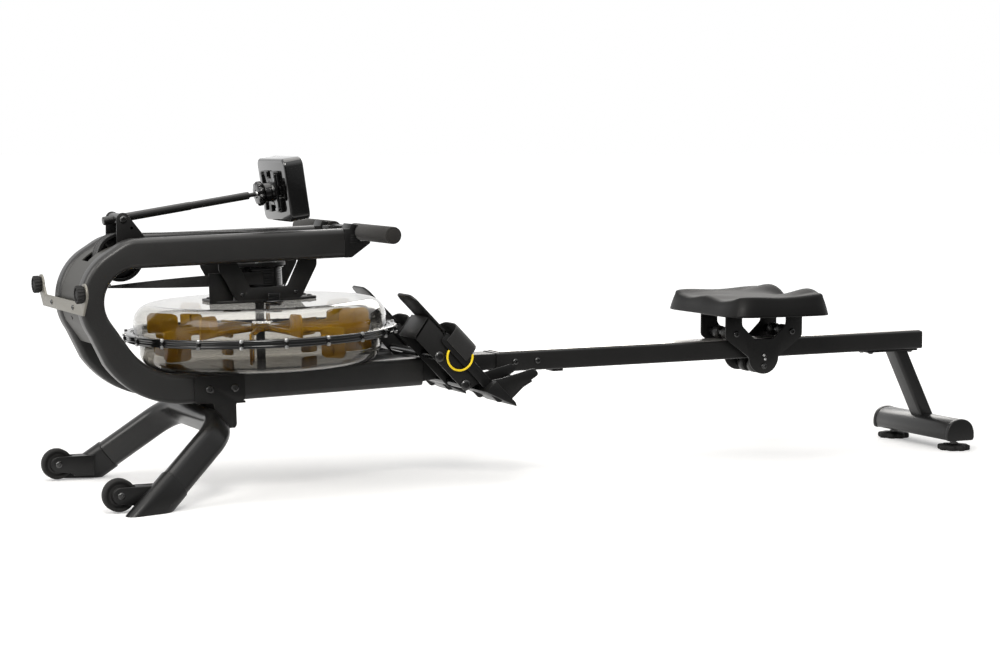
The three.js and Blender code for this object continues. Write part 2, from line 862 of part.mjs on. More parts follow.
// Gasket ring, which carries the flange bolts round the rim
function clampRing() {
  const low = flangeUnder + flangeThick + gap / 2;
  const high = low + gasketThick;
  const innerEdge = upperRadius + gasketLip;
  const boltRing = flangeRadius + gap + tankBoltHead;
  const lip = boltRing - tankBoltHead / 2;
  const section = [[innerEdge, low], [lip, low], [lip, high], [innerEdge, high], [innerEdge, low]];
  const ring = turned(section, tankFacets).translate(tankAt, 0, 0);
  const boltTop = high + flangeThick + gap + tankBoltHeight;
  const boltFoot = low - flangeThick - gap - tankBoltHeight;
  const bolts = [];
  for (let k = 0; k < tankBolts; k += 1) {
    const angle = (Math.PI * 2 * (k + 0.5)) / tankBolts;
    const [x, y] = [tankAt + boltRing * Math.cos(angle), boltRing * Math.sin(angle)];
    bolts.push(post(tankBoltHead, boltFoot, boltTop, x, y, boltSides));
  }
  return join(ring, ...bolts);
}

// Impeller on the shaft that the drum turns: arms from a hub, with a paddle over or under each end

function paddleOutline(way) {
  const armHalf = (way * paddleArm) / 2;
  const inner = paddleReach - paddleWide;
  const tip = way > 0 ? paddleRise : -paddleFall;
  return outline([
    [0, -armHalf],
    [paddleReach, -armHalf],
    [paddleReach, tip - way * paddleCorner],
    [paddleReach - paddleCorner, tip],
    [inner + paddleCorner, tip],
    [inner, tip - way * paddleCorner],
    [inner, armHalf],
    [0, armHalf],
  ]);
}

function impeller() {
  const shapes = [paddleOutline(1), paddleOutline(-1)];
  const blades = [];
  for (let k = 0; k < paddleCount; k += 1) {
    const blade = sideways(shapes[k % shapes.length], -paddleThick / 2, paddleThick / 2);
    blade.rotateZ(paddleStart + (Math.PI * 2 * k) / paddleCount).translate(tankAt, 0, paddleMiddle);
    blades.push(blade);
  }
  const [low, high] = [paddleMiddle - paddleArm / 2, paddleMiddle + paddleArm / 2];
  const hub = post(paddleRoot, low, high, tankAt, 0, hubSides);
  return join(driveShaft(), hub, ...blades);
}

function driveShaft() {
  const foot = lowerBottom + tankWall + running;
  const top = drumUnder - gap;
  const shaft = post(shaftRadius, foot, top, tankAt, 0, 14);
  const hubTop = paddleMiddle + paddleArm / 2 + gap;
  const collar = post(collarRadius, hubTop, hubTop + shaftRadius, tankAt, 0, 14);
  return join(shaft, collar);
}

// Drive bracket: two pierced cheeks on the tubes and the bearing plate that they carry

function driveBracket() {
  const cheek = new THREE.Shape();
  const [x0, z0] = [tankAt, bracketUnder];
  cheek.moveTo(x0 - bracketFoot, z0);
  cheek.lineTo(x0 + bracketFoot, z0);
  cheek.lineTo(x0 + bracketTop, bracketKnee);
  cheek.lineTo(x0 + bracketTop, bracketRise);
  cheek.lineTo(x0 + bracketCutTop, bracketRise);
  cheek.lineTo(x0 + bracketCutTop, frameTopUnder);
  cheek.lineTo(x0 + bracketCutFoot, bracketCutAt);
  cheek.lineTo(x0 - bracketCutFoot, bracketCutAt);
  cheek.lineTo(x0 - bracketCutTop, frameTopUnder);
  cheek.lineTo(x0 - bracketCutTop, bracketRise);
  cheek.lineTo(x0 - bracketTop, bracketRise);
  cheek.lineTo(x0 - bracketTop, bracketKnee);
  const outer = frameInner - gap;
  const cheeks = sides.map(([, way]) => sideways(cheek, ...spanOf(way, outer - bracketSheet, outer)));
  const plate = outline([
    [x0 - bearingHalf, -bearingNose],
    [x0 - bracketFoot, -outer],
    [x0 + bracketFoot, -outer],
    [x0 + bearingHalf, -bearingNose],
    [x0 + bearingHalf, bearingNose],
    [x0 + bracketFoot, outer],
    [x0 - bracketFoot, outer],
    [x0 - bearingHalf, bearingNose],
  ]);
  plate.holes = [circle(x0, 0, shaftRadius + running)];
  const sheet = upright(plate, z0 - bearingSheet, z0 + gap);
  const guard = box([x0 - guardTo, x0 - guardFrom], [-guardAt - guardSheet / 2, -guardAt + guardSheet / 2],
    [z0 - bearingSheet, guardTop]);
  return join(sheet, guard, ...cheeks);
}

function strapDrum() {
  const bore = shaftRadius / 2;
  const rimLow = drumUnder + drumRimThick;
  const rimHigh = drumTop - drumRimThick;
  const profile = [
    [bore, drumUnder],
    [drumRadius + drumRim, drumUnder],
    [drumRadius + drumRim, rimLow],
    [drumRadius, rimLow],
    [drumRadius, rimHigh],
    [drumRadius + drumRim, rimHigh],
    [drumRadius + drumRim, drumTop],
    [bore, drumTop],
    [bore, drumUnder],
  ];
  return turned(profile, 18).translate(tankAt, 0, 0);
}

// Case of the rewind spring, on a bar between the cheeks of the bracket
function springCase() {
  const low = drumTop + running;
  const high = low + springCaseHeight;
  const disc = post(springCaseRadius, low, high, tankAt, 0, 28);
  const reach = frameInner - gap - bracketSheet - gap;
  const legs = box([tankAt - springBarWidth / 2, tankAt + springBarWidth / 2], [-reach, reach], [low, high]);
  const pin = post(shaftRadius / 2 - gap, drumUnder + overrun, low + overrun, tankAt, 0);
  return join(disc, legs, pin);
}

function fillPlug() {
  const seat = bracketUnder - bearingSheet;
  const head = post(plugHead, upperTop + gap, upperTop + gap + plugHeadHeight, tankAt, -waterHoleAt, 18);
  const foot = upperTop - tankWall - overrun;
  const stem = post(plugStem, foot, upperTop + plugHeadHeight, tankAt, -waterHoleAt, 16);
  const top = seat + plugHeadHeight + plugGripHeight;
  const [halfLength, halfWidth] = [plugGripLength / 2, plugGripWidth / 2];
  const across = [-waterHoleAt - halfWidth, -waterHoleAt + halfWidth];
  const grip = box([tankAt - halfLength, tankAt + halfLength], across, [seat, top]);
  return join(head, stem, grip);
}

function tankCradle() {
  const low = frameLowTop + gap;
  const high = low + cradleThick;
  const bars = [-1, 1].map((way) => {
    const middle = tankAt + way * cradleSpan / 2;
    return box([middle - cradleWidth / 2, middle + cradleWidth / 2], [-frameOuter, frameOuter], [low, high]);
  });
  const [halfSpan, halfWidth] = [cradleSpan / 2, cradleWidth / 2];
  const spine = box([tankAt - halfSpan, tankAt + halfSpan], [-halfWidth, halfWidth], [low, high]);
  return join(spine, ...bars);
}

// Pulley, idler and guide

function frontPulley() {
  const [half, web] = [pulleyWidth / 2, pulleyWeb / 2];
  const rimFloor = pulleyGroove - pulleyRim;
  const profile = [
    [pulleyBore, -half],
    [pulleyHub, -half],
    [pulleyHub, -web],
    [rimFloor, -web],
    [rimFloor, -half],
    [pulleyRadius, -half],
    [pulleyRadius, -half + pulleyRim],
    [pulleyGroove, -half + pulleyRim],
    [pulleyGroove, half - pulleyRim],
    [pulleyRadius, half - pulleyRim],
    [pulleyRadius, half],
    [rimFloor, half],
    [rimFloor, web],
    [pulleyHub, web],
    [pulleyHub, half],
    [pulleyBore, half],
    [pulleyBore, -half],
  ];
  return turnedAcross(profile, 18, pulleyAt[0], 0, pulleyAt[1]);
}

function pulleyAxle() {
  const reach = frameInner - gap;
  const pin = barAcross(axleRadius, -reach, reach, ...pulleyAt);
  const spacers = sides.map(([, way]) => {
    const [low, high] = spanOf(way, pulleyWidth / 2 + running, reach);
    return barAcross(pulleyBore + running, low, high, ...pulleyAt);
  });
  return join(pin, ...spacers);
}

function idlerRoller() {
  const half = idlerWidth / 2;
  const shell = barAcross(idlerRadius, -half, half, ...idlerAt, 14);
  return join(shell, barAcross(idlerPin, -frameInner + gap, frameInner - gap, ...idlerAt, 8));
}

function guideRoller() {
  const [x, y] = guideAt;
  const low = bracketUnder + 2 * gap + running;
  const top = low + strapWidth + 4 * guideRadius;
  return join(post(guideRadius, low, top, x, y, 14), post(guidePin, low - running, top, x, y, 8));
}

// Strap: handle, over the front pulley, round the idler, then a quarter twist to the drum

function pullStrap() {
  const lift = strapThick / 2 + gap;
  const [px, pz] = pulleyAt;
  const [ix, iz] = idlerAt;
  const wrap = pulleyGroove + lift;
  const turnIn = idlerRadius + lift;
  const yokeEnd = handleLocal[0] - yokeLength - barRadius;
  const centres = [];
  const addPoint = (x, y, z, tilt) => centres.push({ at: new THREE.Vector3(x, y, z), tilt });
  const startHeight = handleLocal[1] + (handleLocal[0] - yokeEnd) * Math.tan(frameTilt);
  const topAngle = Math.PI / 2 - frameTilt;
  const leave = Math.atan2(iz - pz, ix - px) + Math.acos((wrap - turnIn) / Math.hypot(ix - px, iz - pz));
  addPoint(yokeEnd, 0, startHeight, 0);
  const wrapSteps = 10;
  const leaveAngle = 2 * Math.atan2(iz - pz, ix - px) - leave + Math.PI * 2;
  for (let k = 0; k <= wrapSteps; k += 1) {
    const angle = THREE.MathUtils.lerp(topAngle, leaveAngle, k / wrapSteps);
    addPoint(px + wrap * Math.cos(angle), 0, pz + wrap * Math.sin(angle), 0);
  }
  const idleSteps = 4;
  for (let k = 0; k <= idleSteps; k += 1) {
    const angle = THREE.MathUtils.lerp(leaveAngle, Math.PI * 1.5, k / idleSteps);
    addPoint(ix + turnIn * Math.cos(angle), 0, iz + turnIn * Math.sin(angle), 0);
  }
  const twistSteps = 12;
  const drumWrap = drumRadius + lift;
  const reach = tankAt - ix;
  const drumSide = -drumWrap * Math.sqrt(1 - (drumWrap / reach) ** 2);
  const drumMiddle = (drumUnder + drumTop) / 2;
  const runStart = new THREE.Vector3(ix, 0, iz - turnIn);
  const runEnd = new THREE.Vector3(tankAt - drumWrap ** 2 / reach, drumSide, drumMiddle);
  for (let k = 1; k <= twistSteps; k += 1) {
    const at = runStart.clone().lerp(runEnd, k / twistSteps);
    centres.push({ at, tilt: (Math.PI / 2) * Math.min(1, (k + 1) / twistSteps) });
  }
  const [halfWide, halfThick] = [strapWidth / 2, strapThick / 2];
  const rings = centres.map(({ at, tilt }, i) => {
    const before = centres[Math.max(0, i - 1)].at;
    const after = centres[Math.min(centres.length - 1, i + 1)].at;
    const heading = after.clone().sub(before).normalize();
    const across = new THREE.Vector3(0, 1, 0).applyAxisAngle(heading, tilt);
    across.addScaledVector(heading, -across.dot(heading)).normalize();
    const thick = new THREE.Vector3().crossVectors(heading, across);
    const corners = [[1, 1], [-1, 1], [-1, -1], [1, -1]];
    return corners.map(([a, b]) => {
      const spot = at.clone().addScaledVector(across, a * halfWide);
      return spot.addScaledVector(thick, b * halfThick);
    });
  });
  return loft(rings);
}

// Monitor bracket, arm and head

function monitorBracket() {
  const [px, pz] = armPivot;
  const shape = new THREE.Shape();
  shape.moveTo(armPlateFront, armPlateFoot);
  shape.lineTo(armPlateRear, armPlateFoot);
  shape.lineTo(armPlateRear, frameTopFace);
  shape.absarc(px, pz, armPlateRadius, armPlateSlope, Math.PI);
  const plates = sides.map(([, way]) => {
    return sideways(shape, ...spanOf(way, armPlateSpan - armPlateSheet, armPlateSpan));
  });
  const reach = frameInner - gap;
  const shelf = [armPlateFoot, armPlateFoot + armPlateSheet];
  const shelves = sides.map(([, way]) => {
    const span = spanOf(way, armPlateSpan - armPlateSheet, reach);
    return box([armPlateFront, armPlateRear], span, shelf);
  });
  const boltReach = armPlateSpan + armBoltRadius;
  const bolt = barAcross(armBoltRadius, -boltReach, boltReach, px, pz, 12);
  const tieAt = [px + armPlateRadius + tieRadius, pz - armPlateRadius - tieRadius - running];
  const tie = barAcross(tieRadius, -armPlateSpan, armPlateSpan, ...tieAt, 10);
  return join(plates[0], plates[1], ...shelves, bolt, tie);
}

const armFrame = new THREE.Matrix4().makeRotationY(-armRise).setPosition(armPivot[0], 0, armPivot[1]);
const alongArm = (geometry) => geometry.applyMatrix4(armFrame);

function monitorArm() {
  const step = armLength * armStepShare;
  const bore = armBoltRadius + gap;
  const profile = [
    [0, -armBack],
    [armRadius, -armBack],
    [armRadius, step],
    [armTipRadius, step],
    [armTipRadius, armLength],
    [ballStem, armLength],
    [ballStem, ballReach - ballRadius - gap],
    [0, ballReach - ballRadius - gap],
  ];
  const tube = turned(profile, 14).rotateY(Math.PI / 2);
  const sleeveReach = armPlateSpan - armPlateSheet - gap;
  const sleeve = barAcross(armSleeve, -sleeveReach, sleeveReach, 0, 0, 14);
  const hole = barAcross(bore, -armPlateSpan, armPlateSpan, 0, 0, 12);
  return alongArm(cut(join(tube, sleeve), hole));
}

// Ball on the neck of the arm, held by the socket of the head
function pivotBall() {
  return alongArm(new THREE.SphereGeometry(ballRadius, 14, 8).translate(ballReach, 0, 0));
}

function lockKnob() {
  const points = [];
  const steps = knobFlutes * 3;
  for (let k = 0; k < steps; k += 1) {
    const angle = (Math.PI * 2 * k) / steps;
    const radius = knobRadius * (1 - knobFluteShare * (0.5 - 0.5 * Math.cos(knobFlutes * angle)));
    points.push([radius * Math.cos(angle), radius * Math.sin(angle)]);
  }
  const shape = outline(points);
  shape.holes = [circle(0, 0, ballRadius + gap)];
  const front = ballReach - knobLength / 2;
  return alongArm(lengthways(shape, front, front + knobLength, { bevel: knobEdge }));
}

const ballAt = new THREE.Vector3(ballReach, 0, 0).applyMatrix4(armFrame);
const headFrame = new THREE.Matrix4().makeRotationY(-headTilt).setPosition(ballAt);
const inHead = (geometry) => geometry.applyMatrix4(headFrame);
const headBack = knobLength / 2 + gap + socketLength;

function monitorMount() {
  const start = (knobLength + 3 * gap) / 2;
  const cup = turned([
    [ballRadius + gap, start],
    [socketRadius, start],
    [socketRadius, headBack],
    [0, headBack],
    [0, headBack - overrun],
    [ballRadius + gap, headBack - overrun],
    [ballRadius + gap, start],
  ], 14).rotateY(Math.PI / 2);
  const plate = roundedRect(headPlateWidth, headPlateHeight, headPlateSheet);
  const [waist, notch] = [headPlateWidth / 4, headPlateHeight / 4];
  const sheet = lengthways(plate, headBack - gap, headBack + headPlateSheet);
  const [edge, tall] = [headPlateWidth / 2 + overrun, headPlateHeight / 2 + overrun];
  const across = [headBack - overrun, headBack + headPlateSheet + overrun];
  const notches = sides.flatMap(([, way]) => [
    box(across, way < 0 ? [-edge, -waist] : [waist, edge], [-notch / 2, notch / 2]),
    box(across, [-waist / 2, waist / 2], spanOf(way, notch + headPlateSheet, tall)),
  ]);
  return inHead(join(cup, cut(sheet, ...notches).translate(0, 0, monitorLift / 2)));
}

function monitorHousing() {
  const back = headBack + headPlateSheet + gap;
  const body = lengthways(roundedRect(monitorWidth, monitorHeight, monitorCorner), back, back + monitorThick,
    { bevel: monitorEdge, curveSegments: 3 });
  const recess = roundedRect(monitorWidth - 2 * screenInset, monitorHeight - 2 * screenInset, monitorEdge);
  const well = lengthways(recess, back + monitorThick - screenProud, back + monitorThick + overrun);
  return inHead(cut(body, well).translate(0, 0, monitorLift));
}

// Front legs

const legDown = new THREE.Vector3(-Math.cos(legSlope), 0, -Math.sin(legSlope));
const legFace = new THREE.Vector3(-Math.sin(legSlope), 0, Math.cos(legSlope));
const legRun = legTop[1] / Math.sin(legSlope); // from the crossing bar to the floor, down the slope
const legTopSpan = legFootSpan - legRun * Math.tan(legSplay);

// Rings of the flat oval, square to the path that runs in the sloping plane of the legs
function legRings(path, wall, widen = 0) {
  const plane = (p) => new THREE.Vector3(legTop[0], p.x, legTop[1]).addScaledVector(legDown, p.y);
  return path.map((p, i) => {
    const before = path[Math.max(0, i - 1)];
    const after = path[Math.min(path.length - 1, i + 1)];
    const heading = after.clone().sub(before).normalize();
    const side = new THREE.Vector3(0, -heading.y, 0).addScaledVector(legDown, heading.x);
    const section = ringPoints(legFlat + 2 * wall + widen, legThick + 2 * wall, legCorner + wall);
    return section.map(([u, v]) => plane(p).addScaledVector(legFace, u).addScaledVector(side, v));
  });
}

function legTube() {
  const corners = [
    [-legFootSpan, legRun],
    [-legTopSpan, 0],
    [legTopSpan, 0],
    [legFootSpan, legRun],
  ];
  const whole = loft(legRings(bentPath(corners, [0, legBendRadius, legBendRadius, 0]), 0));
  return cut(whole, legEnds());
}

// What lies below the upper seam of the caps, which the tube is cut back to
function legEnds() {
  const height = (capLength - legFlat * Math.cos(legSlope)) * Math.sin(legSlope);
  const reach = legFootSpan + legFlat * 2;
  return box([-reach, reach], [-reach, reach], [-reach, height / 2]);
}

function legCap(way) {
  const foot = new THREE.Vector2(way * legFootSpan, legRun);
  const heading = new THREE.Vector2(way * (legFootSpan - legTopSpan), legRun).normalize();
  const top = foot.clone().addScaledVector(heading, -capLength);
  const bottom = foot.clone().addScaledVector(heading, legFlat);
  const sleeve = loft(legRings([top, bottom], capWall));
  const bore = loft(legRings([top.clone().addScaledVector(heading, -overrun), foot], gap));
  const half = spanOf(way, 0, 2 * legFootSpan);
  const floor = box([-legRun, 2 * legRun], half, [-legRun, 0]);
  const plugTop = (capLength - legFlat * Math.cos(legSlope)) * Math.sin(legSlope) / 2 - gap;
  const hollow = cut(bore, box([-legRun, 2 * legRun], half, [-legRun, plugTop]));
  const [wx, wz] = wheelAt;
  const arm = new THREE.Shape();
  arm.moveTo(wx, wz - forkRadius);
  arm.lineTo(wx + forkReach, forkLow);
  arm.lineTo(wx + forkReach, wz + forkRadius);
  arm.lineTo(wx, wz + forkRadius);
  arm.absarc(wx, wz, forkRadius, Math.PI / 2, Math.PI * 1.5);
  const side = wheelWidth / 2 + running;
  const arms = [-1, 1].map((edge) => {
    const [low, high] = edge < 0 ? [-side - forkSheet, -side] : [side, side + forkSheet];
    return sideways(arm, way * wheelSpan + low, way * wheelSpan + high, { curveSegments: 5 });
  });
  const bridge = box([wx + wheelRadius + running, wx + forkReach],
    [way * wheelSpan - side - forkSheet, way * wheelSpan + side + forkSheet], [forkLow, wz + forkRadius]);
  const reach = side + forkSheet;
  const pin = barAcross(wheelBore - gap, way * wheelSpan - reach, way * wheelSpan + reach, wx, wz, 10);
  const middle = way * wheelSpan;
  const headReach = reach + axleHeadHeight;
  const heads = barAcross(axleHead, middle - headReach, middle + headReach, wx, wz, boltSides);
  const innerClear = barAcross(axleHead + overrun, middle - side, middle + side, wx, wz, 10);
  const wheelRoom = barAcross(wheelRadius + running, middle - side, middle + side, wx, wz, 20);
  const body = cut(join(cut(sleeve, wheelRoom), bridge, ...arms), floor, hollow);
  return join(body, pin, cut(heads, innerClear));
}

function wheel(way) {
  const [half, r] = [wheelWidth / 2, wheelRadius];
  const profile = [
    [wheelBore, -half],
    [wheelHub, -half],
    [wheelHub + wheelCrown, -half + wheelDish],
    [r - 2 * wheelCrown, -half + wheelDish],
    [r - wheelCrown, -half],
    [r, -half + wheelCrown],
    [r, half - wheelCrown],
    [r - wheelCrown, half],
    [r - 2 * wheelCrown, half - wheelDish],
    [wheelHub + wheelCrown, half - wheelDish],
    [wheelHub, half],
    [wheelBore, half],
    [wheelBore, -half],
  ];
  return turnedAcross(profile, 16, wheelAt[0], way * wheelSpan, wheelAt[1]);
}

// Cheeks on the outer faces of the lower tubes, joined by a web that holds the legs' crossing bar

function legClamp() {
  const drop = gussetDrop - clampAt * Math.sin(frameTilt);
  const low = frameLowUnder - 2 * gap;
  const cheek = new THREE.Shape();
  cheek.moveTo(clampAt - clampHalf, low);
  cheek.lineTo(clampAt - gussetHalf / 2, low);
  cheek.lineTo(clampAt - gussetHalf / 2, drop);
  cheek.lineTo(clampAt + gussetRear, drop);
  cheek.lineTo(clampAt + gussetRear, low);
  cheek.lineTo(clampAt + clampHalf, low);
  cheek.lineTo(clampAt + clampHalf, clampRise);
  cheek.lineTo(clampAt - clampHalf + clampCorner, clampRise);
  cheek.quadraticCurveTo(clampAt - clampHalf, clampRise, clampAt - clampHalf, clampRise - clampCorner);
  const near = frameOuter + gap;
  const cheeks = sides.map(([, way]) => sideways(cheek, ...spanOf(way, near, near + clampSheet)));
  const web = box([clampAt + gussetHalf, clampAt + clampHalf], [-near - clampSheet, near + clampSheet],
    [low - clampSheet, low]);
  const [rear, wide] = [clampAt + gussetHalf, near + clampSheet];
  const back = box([rear, rear + clampSheet], [-wide, wide],
    [drop, low]);
  const bolts = sides.flatMap(([, way]) => [-1, 1].map((end) => {
    const [from, to] = spanOf(way, near, near + clampSheet + clampBoltHeight);
    const at = clampAt + clampBoltShift + end * clampHalf * clampBoltShare;
    return barAcross(clampBolt, from, to, at, (frameLowUnder + clampRise) / 2, 12);
  }));
  const bar = loft(legRings([new THREE.Vector2(-legTopSpan, 0), new THREE.Vector2(legTopSpan, 0)], gap));
  const barHere = bar.applyMatrix4(new THREE.Matrix4().makeRotationY(frameTilt));
  return cut(join(cheeks[0], web, back, cheeks[1], ...bolts), barHere);
}

// Rail and its fittings, in the rail's own frame

function railBody() {
  const shape = roundedRect(2 * railHalf, railHeight, railCorner);
  const bore = roundedRect(2 * (railHalf - railWall), railHeight - 2 * railWall, railCorner / 2);
  shape.holes = [bore];
  return lengthways(shape, 0, railLength - railCapThick - gap, { curveSegments: 3 })
    .translate(0, 0, railTop - railHeight / 2);
}

function railFittings() {
  const bolts = railBoltAts.flatMap((at) => sides.map(([, way]) => {
    const [low, high] = spanOf(way, railHalf - railWall, railHalf + railBoltHeight);
    return barAcross(railBolt, low, high, at, railTop - railHeight / 2, 10);
  }));
  const under = railTop - railHeight;
  const stopTop = under + railWall;
  const stopHalf = railHalf / 2;
  const stop = box([stopAt, stopAt + stopLength], [-stopHalf, stopHalf], [under - stopHeight, stopTop]);
  return join(railBody(), stop, ...bolts);
}

function railStrip() {
  const low = railTop + gap;
  const clear = railCapThick + 2 * gap;
  const half = stripWidth / 2;
  return box([railBoltAts[0] / 4, railLength - clear], [-half, half], [low, low + stripThick]);
}

function railEndCap() {
  const shape = roundedRect(2 * railHalf + gap, railHeight + gap, railCapCorner);
  const plate = lengthways(shape, railLength - railCapThick, railLength, { curveSegments: 3 });
  const wall = railWall + gap;
  const section = roundedRect(2 * (railHalf - wall), railHeight - 2 * wall, railPlugCorner);
  const seat = railLength - railCapThick;
  const plug = lengthways(section, seat - railPlugLength, seat + gap, { curveSegments: 2 });
  return join(plate, plug).translate(0, 0, railTop - railHeight / 2);
}

// Centre beam: deep between the side frames, shallow where it enters the rail

function centreBeam() {
  const tongueTop = beamTop - railWall - gap * 4;
  const end = railFront - railTop * Math.sin(railTilt) - gap;
  const shape = outline([
    [beamFront, beamTop - beamDeep],
    [beamTaperAt - beamTongue, beamTop - beamDeep],
    [end, beamTop - beamShallow],
    [end, beamTop],
    [beamFront, beamTop],
  ]);
  const body = sideways(shape, -beamHalf, beamHalf, { bevel: beamEdge });
  const inner = railHalf - railWall - gap;
  const tongueFoot = tongueTop - beamShallow + 2 * railWall;
  const tongue = box([end - overrun, end + beamTongue], [-inner, inner], [tongueFoot, tongueTop]);
  const reach = frameInner - gap;
  const ears = [0, 1].map((k) => {
    const at = beamFront + beamEarInset + k * (frameLowEnd - beamFront) * beamEarShare;
    const heights = beamEarShares.map((share) => beamTop - beamDeep * (1 - share));
    return box([at, at + beamHalf / 2], [-reach, reach], heights);
  });
  const bore = barAcross(rodRadius + gap, -reach, reach, ...rodLowerAt, 12);
  return cut(join(body, tongue, ...ears), bore);
}

// Rear leg: plate under the rail, slanted tube and crossbar, welded together

function crossbarShape(grow = 0) {
  const [front, low] = [crossbarFront - grow, crossbarUnder - grow];
  const [long, tall] = [crossbarRear + grow - front, crossbarHeight + 2 * grow];
  const p = crossbarShares.map(([u, v]) => [front + u * long, low + v * tall]);
  const shape = new THREE.Shape();
  shape.moveTo(...p[0]);
  shape.lineTo(...p[1]);
  shape.quadraticCurveTo(...p[2], ...p[3]);
  shape.bezierCurveTo(...p[4], ...p[5], ...p[6]);
  shape.bezierCurveTo(...p[7], ...p[8], ...p[9]);
  shape.quadraticCurveTo(...p[10], ...p[0]);
  return shape;
}

function rearLeg() {
  const rise = (x) => (railTop - railHeight) / Math.cos(railTilt) + (x - railFront) * Math.tan(railTilt);
  const under = (x) => rise(x) - 2 * gap;
  const plate = outline([
    [rearPlateFront, under(rearPlateFront) - rearPlateSheet],
    [rearPlateRear, under(rearPlateRear) - rearPlateSheet],
    [rearPlateRear, under(rearPlateRear)],
    [rearPlateFront, under(rearPlateFront)],
  ]);
  const tubeFoot = crossbarUnder + crossbarHeight / 2;
  const tube = outline([
    [rearTubeFoot, tubeFoot],
    [rearTubeFoot + rearTubeLength, tubeFoot],
    [rearTubeTop + rearTubeLength, under(rearTubeTop + rearTubeLength) - rearPlateSheet / 2],
    [rearTubeTop, under(rearTubeTop) - rearPlateSheet / 2],
  ]);
  const boltAts = [rearPlateFront + rearBoltInset, rearPlateRear - rearBoltInset];
  const bolts = boltAts.flatMap((x) => [-1, 1].map((way) => {
    const top = under(x) - rearPlateSheet / 2;
    return post(rearBolt, top - rearPlateSheet / 2 - rearBoltHeight, top, x, way * rearBoltSpan, boltSides);
  }));
  const bar = sideways(crossbarShape(), -crossbarHalf, crossbarHalf, { curveSegments: 4 });
  return join(
    sideways(plate, -rearPlateHalf, rearPlateHalf),
    sideways(tube, -rearTubeHalf, rearTubeHalf),
    bar,
    ...bolts,
  );
}

function crossbarEnd(way) {
  const [low, high] = spanOf(way, crossbarHalf + gap, crossbarHalf + crossbarCap);
  return sideways(crossbarShape(crossbarCapProud), low, high, { bevel: crossbarCapEdge, curveSegments: 4 });
}

function leveller(way) {
  const points = [];
  const steps = levellerLobes * 3;
  for (let k = 0; k < steps; k += 1) {
    const angle = (Math.PI * 2 * k) / steps;
    const radius = levellerRadius * (1 - levellerLobeShare * (0.5 - 0.5 * Math.cos(levellerLobes * angle)));
    points.push([radius * Math.cos(angle), radius * Math.sin(angle)]);
  }
  const star = upright(outline(points), 0, levellerThick, { bevel: levellerEdge });
  star.translate(levellerAt, way * levellerSpan, 0);
  const stud = post(levellerStud, levellerThick / 2, crossbarUnder - gap, levellerAt, way * levellerSpan, 12);
  return join(star, stud);
}

// Footplates. Points are given along the sole, up from the heel, and square to it

const soleUp = new THREE.Vector2(-Math.cos(footSlope), Math.sin(footSlope));
const soleOut = new THREE.Vector2(Math.sin(footSlope), Math.cos(footSlope));
const onSole = (along, out) => [
  footHeel[0] + soleUp.x * along + soleOut.x * out,
  footHeel[1] + soleUp.y * along + soleOut.y * out,
];
function soleRect(from, to, low, high) {
  return outline([onSole(from, low), onSole(to, low), onSole(to, high), onSole(from, high)]);
}

const across = (way, inner, outer) => spanOf(way, footSpan + inner, footSpan + outer);

function footplate(way) {
  const tongue = roundedRect(2 * footHalf, footLength - tongueFrom + footTip, footTip);
  const middle = (footLength + tongueFrom - footTip) / 2;
  const slope = new THREE.Matrix4().makeBasis(new THREE.Vector3(0, 1, 0),
    new THREE.Vector3(soleUp.x, 0, soleUp.y), new THREE.Vector3(soleOut.x, 0, soleOut.y));
  const toe = upright(tongue, tongueLift, tongueLift + footSheet, { curveSegments: 4 });
  toe.translate(0, middle, 0).applyMatrix4(slope).translate(footHeel[0], way * footSpan, footHeel[1]);
  const wide = across(way, -footHalf, footHalf);
  const wider = across(way, -footHalf - overrun, footHalf + overrun);
  const low = sideways(soleRect(0, tongueFrom, -overrun, footCheek), ...wider);
  const sole = sideways(soleRect(footFrom, tongueFrom + footSheet, -footSheet, 0), ...wide);
  const step = sideways(soleRect(tongueFrom, tongueFrom + footSheet, -footSheet, tongueLift + footSheet),
    ...across(way, -footHalf, footHalf));
  const cheek = outline([
    onSole(footFrom, -footSheet / 2),
    onSole(footBoxTo, -footSheet / 2),
    onSole(footCheekTo, -footCheek),
    onSole(footCheekFrom, -footCheek),
  ]);
  const cheeks = [-1, 1].map((edge) => {
    const pair = edge < 0 ? [-footHalf, -footHalf + footSheet] : [footHalf - footSheet, footHalf];
    return sideways(cheek, ...across(way, ...pair));
  });
  const end = outline([
    onSole(footBoxTo - footSheet, -footSheet / 2),
    onSole(footBoxTo, -footSheet / 2),
    onSole(footCheekTo, -footCheek),
    onSole(footCheekTo - footSheet, -footCheek),
  ]);
  const holes = [rodUpperAt, rodLowerAt].map(([x, z]) => {
    const span = across(way, -footHalf - overrun, footHalf + overrun);
    return barAcross(rodRadius + gap, ...span, x, z, 12);
  });
  return cut(join(cut(toe, low), step, sole, sideways(end, ...wide), ...cheeks), ...holes);
}

function footRod([x, z]) {
  const reach = footSpan + footHalf + gap;
  const rod = barAcross(rodRadius, -reach, reach, x, z, 12);
  const heads = sides.map(([, way]) => {
    return barAcross(rodHead, ...spanOf(way, reach, reach + rodHeadHeight), x, z, 12);
  });
  return join(rod, ...heads);
}

// A sheet along a row of points on the sole, given thickness towards the toes
const soleSheet = (points, thick) => outline([
  ...points.map(([along, out]) => onSole(along, out)),
  ...points.map(([along, out]) => onSole(along + thick, out)).reverse(),
]);

